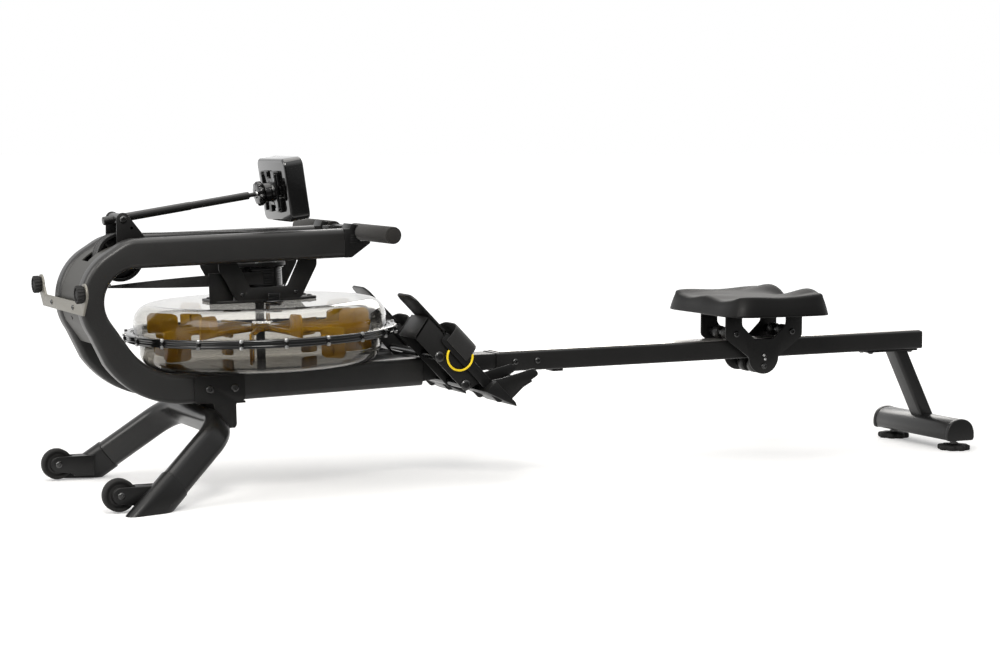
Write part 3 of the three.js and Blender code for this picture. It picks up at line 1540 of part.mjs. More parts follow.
function heelSlide(way) {
  const low = gap;
  const wide = across(way, -slideHalf, slideHalf);
  const sole = sideways(soleRect(0, slideLength, low, low + slideSheet), ...wide);
  const rounded = slideFlange / 2;
  const cheek = outline([
    onSole(slideFlangeFrom, low + slideSheet / 2),
    onSole(slideLength, low + slideSheet / 2),
    onSole(slideLength - rounded / 2, -slideFlange),
    onSole(slideFlangeFrom + rounded, -slideFlange),
    onSole(slideFlangeFrom, -slideFlange + rounded),
  ]);
  const edges = (outer, thick) => {
    return [[-outer, -outer + thick], [outer - thick, outer]].map((pair) => across(way, ...pair));
  };
  const cheeks = edges(slideHalf, slideSheet).map((span) => sideways(cheek, ...span));
  const wingCorners = [[wingFrom, low], wingKnee, wingTop, wingBack, wingWaist, [0, low]];
  const wing = outline(wingCorners.map((corner) => onSole(...corner)));
  const wings = edges(wingSpan + heelSheet / 2, heelSheet).map((span) => sideways(wing, ...span));
  const wall = soleSheet([[-heelSheet, low], [wingWaist[0] - heelSheet, wingWaist[1]],
    [wingBack[0], heelWallTop]], 2 * heelSheet);
  const wedge = outline([
    onSole(-heelTip, low),
    onSole(heelWedge, -heelWedgeDrop),
    onSole(heelWedge, low + slideSheet),
    onSole(-heelTip / 2, low + slideSheet),
  ]);
  const spur = sideways(wedge, ...across(way, -heelHalf, heelHalf));
  const back = sideways(wall, ...across(way, -wingSpan, wingSpan));
  return join(sole, back, spur, ...wings, ...cheeks, pullRing(way));
}

// Ring that is pulled to move the slide, on the outer edge of its flange and open where the band covers it
function pullRing(way) {
  const torus = new THREE.TorusGeometry(ringRadius, ringWire, ringFacets[1], ringFacets[0]);
  const ring = torus.rotateX(Math.PI / 2);
  const [x, z] = onSole(...ringAt);
  ring.translate(x, way * (footSpan + slideHalf + ringWire / 2), z);
  const covered = soleRect(bandAt - bandWidth / 2 - gap, bandAt + bandWidth, bandFoot - gap, ringRadius);
  return cut(ring, sideways(covered, ...across(way, slideHalf - overrun, slideHalf + overrun)));
}

// Band over the foot: an arch from one edge of the sole to the other
function footBand(way) {
  const inner = slideHalf + 3 * gap;
  const points = [];
  const steps = 12;
  for (let k = 0; k <= steps; k += 1) {
    const angle = Math.PI * (k / steps);
    const c = -Math.cos(angle);
    points.push([Math.sign(c) * Math.abs(c) ** bandShare, Math.sin(angle)]);
  }
  const rings = points.map(([c, s]) => {
    const side = (radius) => way * footSpan + radius * c;
    const up = (rise) => bandFoot + (rise - bandFoot) * s ** bandRiseShare;
    return [[0, 0], [bandWidth, 0], [bandWidth, bandThick], [0, bandThick]].map(([along, thick]) => {
      const [x, z] = onSole(bandAt - bandWidth / 2 + along, up(bandRise + thick));
      return new THREE.Vector3(x, side(inner + thick), z);
    });
  });
  return loft(rings);
}

// Seat

const hill = (value, [middle, width]) => Math.exp(-(((value - middle) / width) ** 2));

// Height shares over the seat, s along it and t across: a dished middle, two rear lobes, raised front corners
function heightShare(s, t) {
  const { smoothstep: smooth } = THREE.MathUtils;
  const [side, k] = [Math.abs(t), seatShares];
  const lobe = k.lobe * hill(side, k.lobeHill) * smooth(s, ...k.lobeRamp);
  const notch = -k.notch * hill(t, k.notchHill) * smooth(s, ...k.notchRamp);
  const thigh = -k.thigh * hill(side, k.thighHill) * smooth(-s, ...k.thighRamp);
  const nose = k.nose * hill(t, k.notchHill) * smooth(-s, ...k.noseRamp);
  const wing = k.wing * smooth(side, ...k.wingRamp) * (1 - k.wingFade * hill(s, k.wingHill));
  return k.level + lobe + notch + thigh + nose + wing - k.dish * (1 - s * s) * (1 - t * t);
}

// Share of its length that the seat keeps there: a notch at the rear edge and a bowed front one
function outlineShare(s, t) {
  const k = seatShares;
  return 1 - (s > 0 ? k.rearNotch * hill(t, k.rearHill) : k.frontBow * (1 - t * t)) * s ** 6;
}

// Rounds the corners of the square grid
function squared(a, b) {
  return [a * Math.sqrt(1 - (b ** 6) / seatShares.round), b * Math.sqrt(1 - (a ** 6) / seatShares.round)];
}

function edgeShare(s, t) {
  const { edge } = seatShares;
  return Math.min(1, (Math.abs(s) ** edge + Math.abs(t) ** edge) ** (1 / edge));
}

function seatCushion() {
  const [nx, ny] = seatGrid;
  const half = [seatLength / 2, seatWidth / 2];
  const places = [];
  const faces = [];
  const topAt = (i, j) => {
    const [u, v] = [(2 * i) / nx - 1, (2 * j) / ny - 1];
    const [s, t] = squared(u, v);
    const atRim = Math.max(Math.abs(u), Math.abs(v)) === 1;
    return [s, t, heightShare(s, t) - (atRim ? seatShares.rimFall * edgeShare(s, t) : 0)];
  };
  const index = [];
  for (let i = 0; i <= nx; i += 1) {
    index.push([]);
    for (let j = 0; j <= ny; j += 1) {
      const [s, t, h] = topAt(i, j);
      index[i].push(places.length / 3);
      const x = seatMiddle + s * (half[0] - seatFlare) * outlineShare(s, t);
      places.push(x, t * (half[1] - seatFlare), seatUnder + h * seatTall);
    }
  }
  for (let i = 0; i < nx; i += 1) {
    for (let j = 0; j < ny; j += 1) {
      const [a, b, c, d] = [index[i][j], index[i + 1][j], index[i + 1][j + 1], index[i][j + 1]];
      faces.push(a, b, c, a, c, d);
    }
  }
  const rim = [];
  for (let i = 0; i < nx; i += 1) rim.push([i, 0]);
  for (let j = 0; j < ny; j += 1) rim.push([nx, j]);
  for (let i = nx; i > 0; i -= 1) rim.push([i, ny]);
  for (let j = ny; j > 0; j -= 1) rim.push([0, j]);
  const skirt = rim.map(([i, j]) => {
    const [s, t] = topAt(i, j);
    places.push(seatMiddle + s * half[0] * outlineShare(s, t), t * half[1], seatUnder);
    return places.length / 3 - 1;
  });
  places.push(seatMiddle, 0, seatUnder);
  const middle = places.length / 3 - 1;
  rim.forEach(([i, j], k) => {
    const next = (k + 1) % rim.length;
    const [a, b] = [index[i][j], index[rim[next][0]][rim[next][1]]];
    faces.push(a, skirt[k], skirt[next], a, skirt[next], b, skirt[next], skirt[k], middle);
  });
  const geometry = new THREE.BufferGeometry();
  geometry.setAttribute('position', new THREE.Float32BufferAttribute(places, 3));
  geometry.setIndex(faces);
  return geometry;
}

// Side plate of the carriage; both plates carry a part of the pan under the cushion
function seatPlate(way) {
  const top = seatUnder - gap;
  const shape = new THREE.Shape();
  shape.moveTo(seatAt - plateArm, top);
  shape.lineTo(seatAt - plateArm, plateShoulder);
  shape.absarc(seatAt, plateLobeAt, plateLobe, Math.PI, Math.PI * 2);
  shape.lineTo(seatAt + plateArm, plateShoulder);
  shape.lineTo(seatAt + plateArm, top);
  shape.lineTo(seatAt + plateArm - plateArmWidth, top);
  shape.lineTo(seatAt + plateArm - plateArmWidth, plateCutHigh);
  shape.lineTo(seatAt + plateCutHalf, plateCutLow);
  shape.lineTo(seatAt - plateCutHalf, plateCutLow);
  shape.lineTo(seatAt - plateArm + plateArmWidth, plateCutHigh);
  shape.lineTo(seatAt - plateArm + plateArmWidth, top);
  shape.holes = axlePlaces().map(([x, z]) => circle(x, z, rollerShaft + gap));
  const plate = sideways(shape, ...spanOf(way, plateSpan, plateSpan + plateSheet));
  const middle = way < 0 ? [-plateSpan - plateSheet, -gap] : [gap, plateSpan + plateSheet];
  const shelf = box([seatAt - plateArm, seatAt + plateArm], middle, [top - seatPan, top]);
  return join(plate, shelf);
}

const railSurface = (x) => railTop / Math.cos(railTilt) + (x - railFront) * Math.tan(railTilt);
const lowerAxleHeight = () => railSurface(seatAt) - railHeight - lowerRoller - 2 * gap;

function axlePlaces() {
  const upper = (x) => [x, railSurface(x) + stripThick + upperRoller + 3 * gap];
  return [upper(seatAt - rollerSpan), upper(seatAt + rollerSpan), [seatAt, lowerAxleHeight()]];
}

function carriageRoller(place, radius) {
  const [x, z] = place;
  const reach = plateSpan + plateSheet + gap;
  const shaft = barAcross(rollerShaft, -reach, reach, x, z, 10);
  const inner = plateSpan - gap;
  const sleeve = barAcross(rollerSleeve, -inner, inner, x, z, 10);
  const wheels = [];
  for (let k = 0; k < rollerCount; k += 1) {
    const at = (k / (rollerCount - 1) - 0.5) * (stripWidth - rollerWidth);
    wheels.push(barAcross(radius, at - rollerWidth / 2, at + rollerWidth / 2, x, z, 16));
  }
  const heads = sides.map(([, way]) => {
    const span = spanOf(way, reach, reach + rollerHeadHeight);
    return barAcross(rollerHead, ...span, x, z, boltSides);
  });
  return join(shaft, sleeve, ...wheels, ...heads);
}

// Assembly

for (const [side, way] of sides) {
  add(frontUnit, `${side}_side_frame`, frameTube(way), blackSteel);
  add(frontUnit, `${side}_storage_foot`, storageFoot(way), rubber);
  add(frontUnit, `${side}_handle_rest`, handleRest(way), blackPlastic);
  add(root, `${side}_leg_cap`, legCap(way), blackPlastic);
  add(root, `${side}_front_wheel`, wheel(way), rubber);
  add(root, `${side}_rear_cap`, crossbarEnd(way), blackPlastic);
  add(root, `${side}_levelling_foot`, leveller(way), rubber);
  add(root, `${side}_footplate`, footplate(way), blackSteel);
  add(root, `${side}_heel_slide`, heelSlide(way), blackPlastic);
  add(root, `${side}_foot_strap`, footBand(way), webbing);
  add(root, `${side}_seat_plate`, seatPlate(way), blackSteel);
  const [low, high] = spanOf(way, gripStart, handleHalf);
  const grip = cut(barAcross(gripRadius, low, high, ...handleAt, 24),
    barAcross(barRadius + gap, way < 0 ? low + barEndSpare : low - overrun,
      way < 0 ? high + overrun : high - barEndSpare, ...handleAt, 20));
  add(root, `${side}_grip`, grip, foam);
}

add(frontUnit, 'front_cover', coverPlate(), greySteel);
add(frontUnit, 'storage_bracket', storageBracket(), greySteel);
add(frontUnit, 'tank_upper_shell', upperShell(), clearTank);
add(frontUnit, 'tank_lower_shell', lowerShell(), smokedTank);
add(frontUnit, 'tank_clamp_ring', clampRing(), blackPlastic);
add(frontUnit, 'tank_cradle', tankCradle(), blackSteel);
add(frontUnit, 'impeller', impeller(), amber);
add(frontUnit, 'drive_bracket', driveBracket(), blackSteel);
add(frontUnit, 'strap_drum', strapDrum(), blackPlastic);
add(frontUnit, 'spring_case', springCase(), stainless);
add(frontUnit, 'fill_plug', fillPlug(), rubber);
add(frontUnit, 'front_pulley', frontPulley(), blackPlastic);
add(frontUnit, 'pulley_axle', pulleyAxle(), stainless);
add(frontUnit, 'strap_idler', idlerRoller(), stainless);
add(frontUnit, 'strap_guide', guideRoller(), stainless);
add(frontUnit, 'pull_strap', pullStrap(), webbing);
add(frontUnit, 'monitor_bracket', monitorBracket(), blackSteel);
add(frontUnit, 'monitor_arm', monitorArm(), blackSteel);
add(frontUnit, 'pivot_ball', pivotBall(), stainless);
add(frontUnit, 'lock_knob', lockKnob(), blackPlastic);
add(frontUnit, 'monitor_mount', monitorMount(), blackPlastic);
add(frontUnit, 'monitor_housing', monitorHousing(), blackPlastic);
add(frontUnit, 'leg_clamp', legClamp(), blackSteel);

add(root, 'front_leg_tube', legTube(), blackSteel);
add(root, 'centre_beam', centreBeam(), blackSteel);
add(root, 'rear_leg', rearLeg(), blackSteel);
add(root, 'upper_foot_rod', footRod(rodUpperAt), blackSteel);
add(root, 'lower_foot_rod', footRod(rodLowerAt), blackSteel);
add(root, 'seat_cushion', seatCushion(), padding);
axlePlaces().forEach((place, k) => {
  const name = ['front_roller', 'rear_roller', 'lower_roller'][k];
  add(root, name, carriageRoller(place, k === 2 ? lowerRoller : upperRoller), blackPlastic);
});

add(railUnit, 'rail', railFittings(), blackSteel);
add(railUnit, 'rail_strip', railStrip(), stainless);
add(railUnit, 'rail_end_cap', railEndCap(), blackPlastic);

// Handle bar, with the yoke that the strap is sewn to
const barReach = handleHalf - barEndSpare - gap;
function yoke() {
  const [x, z] = handleAt;
  const [halfWide, halfTall] = [yokeWidth / 2, yokeHeight / 2];
  const front = x - yokeLength - barRadius;
  const loop = box([front, x], [-halfWide, halfWide], [z - halfTall, z + halfTall]);
  const slotHalf = strapWidth / 2 + yokeWall;
  const slot = box([front + yokeWall, x - barRadius - yokeWall / 2], [-slotHalf, slotHalf],
    [z - yokeHeight, z + yokeHeight]);
  return cut(loop, slot);
}
add(root, 'handle_bar', join(barAcross(barRadius, -barReach, barReach, ...handleAt, 20), yoke()), blackSteel);

// The origin is on the floor, under the middle of the machine
const machine = new THREE.Group();
machine.add(root);
machine.updateMatrixWorld(true);
const bounds = new THREE.Box3().setFromObject(machine, true);
root.position.set(-(bounds.min.x + bounds.max.x) / 2, -(bounds.min.y + bounds.max.y) / 2, -bounds.min.z);

export default machine;
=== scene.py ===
import math

import bmesh
import bpy
from mathutils import Matrix, Vector


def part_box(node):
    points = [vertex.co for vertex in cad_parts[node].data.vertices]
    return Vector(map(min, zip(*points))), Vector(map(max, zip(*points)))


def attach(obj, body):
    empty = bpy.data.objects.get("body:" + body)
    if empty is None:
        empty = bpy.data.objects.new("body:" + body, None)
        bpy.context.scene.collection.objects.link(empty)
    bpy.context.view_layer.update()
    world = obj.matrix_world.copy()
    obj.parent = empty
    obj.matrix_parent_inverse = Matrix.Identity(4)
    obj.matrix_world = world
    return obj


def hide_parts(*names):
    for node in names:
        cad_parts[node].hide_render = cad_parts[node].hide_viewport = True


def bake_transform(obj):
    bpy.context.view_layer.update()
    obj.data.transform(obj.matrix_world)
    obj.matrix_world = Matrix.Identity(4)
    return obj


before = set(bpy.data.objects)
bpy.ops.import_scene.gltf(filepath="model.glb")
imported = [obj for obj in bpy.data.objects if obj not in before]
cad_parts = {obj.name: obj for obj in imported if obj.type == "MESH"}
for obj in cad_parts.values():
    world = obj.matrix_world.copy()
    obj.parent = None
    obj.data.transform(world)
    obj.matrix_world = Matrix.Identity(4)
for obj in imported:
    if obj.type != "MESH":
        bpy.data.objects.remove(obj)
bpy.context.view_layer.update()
print("frame loaded")

# Lengths below are in millimetres, as on the workshop drawing, and angles in degrees
mm = 0.001
sides = (("left", -1), ("right", 1))
frameTilt = 1.8
railTilt = 0.66
gap = 0.3
running = 1.2  # room round what turns


def boxOf(node):
    low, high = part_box(node)
    return Vector(low), Vector(high)


def turnBack(angle):  # a lean that lifts what is further back
    return Matrix.Rotation(math.radians(-angle), 4, "Y")


wheelBox = boxOf("left_front_wheel")
origin = (wheelBox[0].x + wheelBox[1].x) / 2  # the front wheels' axle is where the drawing starts
machine = Matrix.Translation((origin, 0, 0)) @ Matrix.Scale(mm, 4)
frontUnit = Matrix.Translation((origin, 0, 0)) @ turnBack(frameTilt) @ Matrix.Scale(mm, 4)


def linked(name, data):
    thing = bpy.data.objects.new(name, data)
    bpy.context.scene.collection.objects.link(thing)
    return thing


def spanOf(way, near, far):  # low and high across, on one side of the machine
    return sorted((way * near, way * far))


# Camera, lights, floor and backdrop

view = {"place": (-1222.2, -4502.4, 721.1), "yaw": 25.27, "pitch": -4.9, "roll": 0.26, "lens": 84.35,
        "sensor": 36, "far": 100}


def addCamera():
    yaw, pitch, roll = (math.radians(view[key]) for key in ("yaw", "pitch", "roll"))
    ahead = Vector((math.sin(yaw) * math.cos(pitch), math.cos(yaw) * math.cos(pitch), math.sin(pitch)))
    level = ahead.cross(Vector((0, 0, 1))).normalized()
    above = level.cross(ahead)
    right = level * math.cos(roll) + above * math.sin(roll)
    up = above * math.cos(roll) - level * math.sin(roll)
    data = bpy.data.cameras.new("camera")
    data.sensor_width = view["sensor"]
    data.lens = view["lens"]
    data.clip_end = view["far"]
    camera = linked("camera", data)
    turn = Matrix((right, up, -ahead)).transposed().to_4x4()
    camera.matrix_world = Matrix.Translation(machine @ Vector(view["place"])) @ turn
    bpy.context.scene.camera = camera


lamps = {
    "overhead": {"place": (-300, 300, 3200), "aim": (0, 0, 300), "size": (3600, 2200), "watts": 44},
    "frontKey": {"place": (-1500, -2600, 2600), "aim": (-250, 0, 350), "size": (900, 900), "watts": 62},
    "leftFill": {"place": (-3000, -700, 1700), "aim": (-300, 0, 350), "size": (1600, 1600), "watts": 34},
    "rearRim": {"place": (1800, 2600, 1700), "aim": (200, 0, 300), "size": (2200, 1200), "watts": 32},
}
lampColour = (1, 0.975, 0.935)


def addLamps():
    for name, lamp in lamps.items():
        data = bpy.data.lights.new(name, "AREA")
        data.shape = "RECTANGLE"
        data.size, data.size_y = (side * mm for side in lamp["size"])
        data.energy = lamp["watts"]
        data.color = lampColour
        place = Vector(lamp["place"]) * mm
        toward = Vector(lamp["aim"]) * mm - place
        turn = toward.to_track_quat("-Z", "Y").to_matrix().to_4x4()
        linked(name, data).matrix_world = Matrix.Translation(place) @ turn


# Shader sockets that take sums, and finishes built from them

class Value:
    def __init__(self, tree, socket):
        self.tree = tree
        self.socket = socket

    def math(self, operation, *others):
        node = self.tree.nodes.new("ShaderNodeMath")
        node.operation = operation
        for entry, item in zip(node.inputs, (self, *others)):
            plug(self.tree, entry, item)
        return Value(self.tree, node.outputs[0])

    def __add__(self, other):
        return self.math("ADD", other)

    __radd__ = __add__

    def __mul__(self, other):
        return self.math("MULTIPLY", other)

    __rmul__ = __mul__

    def __sub__(self, other):
        return self.math("SUBTRACT", other)

    def __rsub__(self, other):
        return self * -1 + other

    def above(self, limit):
        return self.math("GREATER_THAN", limit)

    def held(self):  # kept between 0 and 1
        return self.math("MAXIMUM", 0).math("MINIMUM", 1)


def plug(tree, entry, item):
    if isinstance(item, Value):
        tree.links.new(item.socket, entry)
    else:
        entry.default_value = item


rayKinds = {"camera": 0, "shadow": 1, "glossy": 3, "through": 6}


class Finish:
    def __init__(self, name, tree=None):
        self.material = None if tree else bpy.data.materials.new(name)
        if self.material:
            self.material.use_nodes = True
        self.tree = tree or self.material.node_tree
        self.tree.nodes.clear()

    def add(self, kind, settings=None, inputs=None, output=0):
        node = self.tree.nodes.new(kind)
        for key, item in (settings or {}).items():
            setattr(node, key, item)
        for key, item in (inputs or {}).items():
            plug(self.tree, node.inputs[key], item)
        return Value(self.tree, node.outputs[output]) if node.outputs else None

    def place(self, scale=None):  # the piece's own coordinates, in metres
        point = self.add("ShaderNodeTexCoord", output=3)
        return self.add("ShaderNodeMapping", inputs={"Vector": point, "Scale": scale}) if scale else point

    def noise(self, scale, detail=3, rough=0.55, stretch=None):
        return self.add("ShaderNodeTexNoise", inputs={
            "Vector": self.place(stretch), "Scale": scale, "Detail": detail, "Roughness": rough})

    def blend(self, factor, first, second):
        node = self.tree.nodes.new("ShaderNodeMix")
        node.data_type = "RGBA"
        plug(self.tree, node.inputs[0], factor)
        for entry, colour in zip(node.inputs[6:8], (first, second)):
            plug(self.tree, entry, colour if isinstance(colour, Value) else (*colour, 1))
        return Value(self.tree, node.outputs[2])

    def bump(self, height, strength, distance):
        inputs = {"Height": height, "Strength": strength, "Distance": distance * mm}
        return self.add("ShaderNodeBump", inputs=inputs)

    def shade(self, inputs, last=True):
        shader = self.add("ShaderNodeBsdfPrincipled", inputs=inputs)
        if last:
            self.show(shader)
        return shader

    def show(self, shader):
        self.add("ShaderNodeOutputMaterial", inputs={"Surface": shader})

    def ray(self, kind):
        return self.add("ShaderNodeLightPath", output=rayKinds[kind])

    def showLetting(self, body, tint, share=1.0):  # shadow rays go through it, tinted
        ghost = self.add("ShaderNodeBsdfTransparent", inputs={"Color": (*tint, 1)})
        self.show(self.add("ShaderNodeMixShader", inputs={0: self.ray("shadow") * share, 1: body, 2: ghost}))


def grey(level, warmth=0.0):
    return (level * (1 + warmth), level, level * (1 - warmth))


def scaled(colour, share):
    return [level * share for level in colour]


# Powder coat: fine orange peel with a broad, faint mottle and rubbed patches
def powderCoat(name, level, roughness, grain=700, strength=0.16, specular=0.3):
    finish = Finish(name)
    broad = finish.noise(7, 4)
    peel = finish.noise(grain, 2, 0.4)
    fleck = finish.noise(grain * 3, 1, 0.3).above(0.66)
    colour = finish.blend(broad, grey(level * 0.8, 0.02), grey(level * 1.25, 0.02))
    finish.shade({
        "Base Color": finish.blend(fleck * 0.5, colour, grey(level * 3, 0.02)),
        "Roughness": broad * 0.1 + (roughness - 0.05) - fleck * 0.1,
        "Specular IOR Level": specular,
        "Normal": finish.bump(peel, strength, 0.25),
    })
    return finish.material


# Moulded plastic: satin skin with a fine spark-eroded grain
def mouldedPlastic(name, colour, roughness, grain=1100, strength=0.12, specular=0.4):
    finish = Finish(name)
    broad = finish.noise(16, 3)
    skin = finish.noise(grain, 2, 0.5)
    finish.shade({
        "Base Color": finish.blend(broad, scaled(colour, 0.85), scaled(colour, 1.15)),
        "Roughness": broad * 0.08 + (roughness - 0.04),
        "Specular IOR Level": specular,
        "Normal": finish.bump(skin, strength, 0.12),
    })
    return finish.material


def glossPlastic(name, level, roughness=0.13, specular=0.5, coat=0.2):
    finish = Finish(name)
    smear = finish.noise(22, 4, 0.6)
    finish.shade({
        "Base Color": finish.blend(smear, grey(level * 0.9), grey(level * 1.2)),
        "Roughness": smear * 0.08 + (roughness - 0.04),
        "Specular IOR Level": specular,
        "Coat Weight": smear * 0.1 + (coat - 0.05),
        "Coat Roughness": 0.08,
        "Normal": finish.bump(finish.noise(60, 2), 0.03, 0.4),
    })
    return finish.material


def rubber(name, level, grain=900):
    finish = Finish(name)
    dust = finish.noise(30, 5, 0.65)
    finish.shade({
        "Base Color": finish.blend(dust, grey(level * 0.8, 0.02), grey(level * 1.5, 0.03)),
        "Roughness": dust * 0.15 + 0.62,
        "Specular IOR Level": 0.3,
        "Normal": finish.bump(finish.noise(grain, 3), 0.3, 0.25),
    })
    return finish.material


# Closed-cell foam of the grips
def gripFoam(name, level):
    finish = Finish(name)
    cells = finish.add("ShaderNodeTexVoronoi", inputs={"Vector": finish.place(), "Scale": 1500})
    worn = finish.noise(14, 4)
    finish.shade({
        "Base Color": finish.blend(worn, grey(level * 0.8, 0.08), grey(level * 1.3, 0.1)),
        "Roughness": worn * 0.1 + 0.78,
        "Specular IOR Level": 0.25,
        "Sheen Weight": 0.12,
        "Normal": finish.bump(cells + finish.noise(500, 3) * 0.5, 0.35, 0.3),
    })
    return finish.material


# Integral-skin foam of the seat: a fine leather-like grain, smoother where it is sat on
def seatSkin(name, level, height):
    finish = Finish(name)
    pebble = finish.add("ShaderNodeTexVoronoi", {"feature": "SMOOTH_F1"}, {"Vector": finish.place(),
            "Scale": 620})
    fine = finish.noise(1600, 2)
    rise = finish.add("ShaderNodeSeparateXYZ", inputs={"Vector": finish.place()}, output=2)
    skirt = ((height - rise) * 60).held()
    worn = finish.noise(9, 4)
    grain = (pebble + fine * 0.6) * (skirt * 0.7 + 0.3)
    finish.shade({
        "Base Color": finish.blend(worn, grey(level * 0.85, 0.03), grey(level * 1.2, 0.03)),
        "Roughness": worn * 0.08 - skirt * 0.2 + 0.56,
        "Specular IOR Level": 0.18,
        "Normal": finish.bump(grain, 0.32, 0.35),
    })
    return finish.material


# Woven strap: ribs across and threads along its own map, in metres
def webbing(name, level, pitch=1.3):
    finish = Finish(name)
    cloth = finish.add("ShaderNodeUVMap", {"uv_map": "strap"})
    across = finish.add("ShaderNodeSeparateXYZ", inputs={"Vector": cloth}, output=0)
    along = finish.add("ShaderNodeSeparateXYZ", inputs={"Vector": cloth}, output=1)
    turns = 2 * math.pi / (pitch * mm)
    warp = (across * turns).math("SINE")
    weft = (along * (turns * 0.5) + warp * 0.8).math("SINE")
    weave = (warp * weft) * 0.5 + 0.5
    fuzz = finish.noise(2200, 2)
    finish.shade({
        "Base Color": finish.blend(weave, grey(level * 0.6, 0.02), grey(level * 1.5, 0.02)),
        "Roughness": fuzz * 0.15 + 0.68,
        "Specular IOR Level": 0.3,
        "Sheen Weight": 0.15,
        "Normal": finish.bump(weave + fuzz * 0.3, 0.45, 0.35),
    })
    return finish.material


# Steel with a brushed or rolled surface; the stretch draws the lines out along X
def brushedSteel(name, colour, roughness, metallic, stretch=(1, 40, 40), strength=0.08):
    finish = Finish(name)
    lines = finish.noise(60, 4, 0.6, stretch)
    patch = finish.noise(6, 3)
    finish.shade({
        "Base Color": finish.blend(patch, scaled(colour, 0.9), scaled(colour, 1.08)),
        "Metallic": metallic,
        "Roughness": lines * 0.1 + patch * 0.06 + (roughness - 0.08),
        "Normal": finish.bump(lines, strength, 0.1),
    })
    return finish.material


def zinc(name, level, roughness):
    finish = Finish(name)
    spangle = finish.noise(260, 3)
    finish.shade({
        "Base Color": finish.blend(spangle, grey(level * 0.85), grey(level * 1.1)),
        "Metallic": 0.95,
        "Roughness": spangle * 0.15 + (roughness - 0.07),
    })
    return finish.material


# Clear moulding of the tank; shadow rays pass through most of it
def clearMoulding(name, tint, roughness, shade):
    finish = Finish(name)
    drift = finish.noise(11, 3)
    glass = finish.shade({
        "Base Color": finish.blend(drift, tint, scaled(tint, 1.03)),
        "Roughness": drift * 0.02 + roughness,
        "IOR": 1.3,
        "Transmission Weight": 1.0,
        "Specular IOR Level": 0.8,
        "Normal": finish.bump(finish.noise(13, 2), 0.012, 1.0),
    }, last=False)
    finish.showLetting(glass, shade)
    return finish.material


# Tinted plastic of the paddles, through which the ones behind show darker
def amberPlastic(name, thin, deep):
    finish = Finish(name)
    flow = finish.noise(12, 3, 0.5)
    sink = finish.noise(5, 2, 0.4, (1, 1, 3))
    body = finish.shade({
        "Base Color": finish.blend(flow * 0.5 + sink * 0.5, thin, deep),
        "Roughness": flow * 0.08 + 0.16,
        "IOR": 1.2,
        "Transmission Weight": 0.5,
        "Specular IOR Level": 0.5,
        "Normal": finish.bump(sink, 0.02, 0.6),
    }, last=False)
    finish.showLetting(body, thin, 0.7)
    return finish.material


finishes = {
    "frameCoat": powderCoat("charcoal_powder_coat", 0.015, 0.38, specular=0.5),
    "blackCoat": powderCoat("black_powder_coat", 0.007, 0.42, 900, 0.14, 0.36),
    "railCoat": powderCoat("rail_powder_coat", 0.01, 0.36, 600, 0.1, 0.38),
    "tubeCoat": powderCoat("leg_powder_coat", 0.006, 0.3, 800, 0.08, 0.55),
    "plastic": mouldedPlastic("moulded_black", grey(0.005), 0.36),
    "softPlastic": mouldedPlastic("moulded_graphite", grey(0.011, 0.03), 0.44),
    "gloss": glossPlastic("gloss_black", 0.003),
    "caseGloss": glossPlastic("monitor_gloss", 0.003, 0.08, 0.8, 0.5),
    "rubber": rubber("black_rubber", 0.009),
    "foam": gripFoam("grip_foam", 0.014),
    "webbing": webbing("woven_strap", 0.012),
    # The cover plate is the same steel as the storage strip, in a darkened copy: painted shade
    "coverSteelShaded": brushedSteel("cover_steel_painted_shade", (0.034, 0.033, 0.029), 0.5, 0.0),
    # The storage strip is the same steel as the cover plate, in a lightened copy: painted light
    "stripSteelLit": brushedSteel("strip_steel_painted_light", (0.2, 0.19, 0.165), 0.42, 0.4),
    "stainless": brushedSteel("brushed_stainless", (0.62, 0.6, 0.57), 0.3, 0.9, (2, 60, 60)),
    "zinc": zinc("zinc_plate", 0.6, 0.3),
    "boltBlack": zinc("black_oxide", 0.09, 0.24),
    "clear": clearMoulding("clear_moulding", (0.77, 0.76, 0.735), 0.008, (0.5, 0.49, 0.47)),
    "smoke": clearMoulding("smoked_moulding", (0.42, 0.405, 0.375), 0.012, (0.22, 0.21, 0.2)),
    "amber": amberPlastic("amber_paddle", (0.56, 0.33, 0.025), (0.34, 0.18, 0.01)),
    "yellow": mouldedPlastic("yellow_plastic", (0.86, 0.62, 0.01), 0.35, 700, 0.06),
}

# Solids: each is a list of points and a list of faces

def loft(rings, closed=False):
    count = len(rings[0])
    points = [point for ring in rings for point in ring]
    faces = []
    for k in range(len(rings) if closed else len(rings) - 1):
        here, there = k * count, (k + 1) % len(rings) * count
        for i in range(count):
            j = (i + 1) % count
            faces.append((here + i, here + j, there + j, there + i))
    if not closed:
        faces.append(tuple(range(count)))
        faces.append(tuple(range((len(rings) - 1) * count, len(rings) * count)))
    return points, faces


def prism(outline, low, high, axis="Y"):
    order = {
        "X": lambda u, v, w: (w, u, v),
        "Y": lambda u, v, w: (u, w, v),
        "Z": lambda u, v, w: (u, v, w),
    }[axis]
    return loft([[order(u, v, w) for u, v in outline] for w in (low, high)])


def block(low, high):
    return prism([(low[0], low[2]), (high[0], low[2]), (high[0], high[2]), (low[0], high[2])], low[1],
                 high[1])


turnedTo = {"Z": Matrix(), "Y": Matrix.Rotation(-math.pi / 2, 4, "X"), "X": Matrix.Rotation(math.pi / 2, 4,
        "Y")}


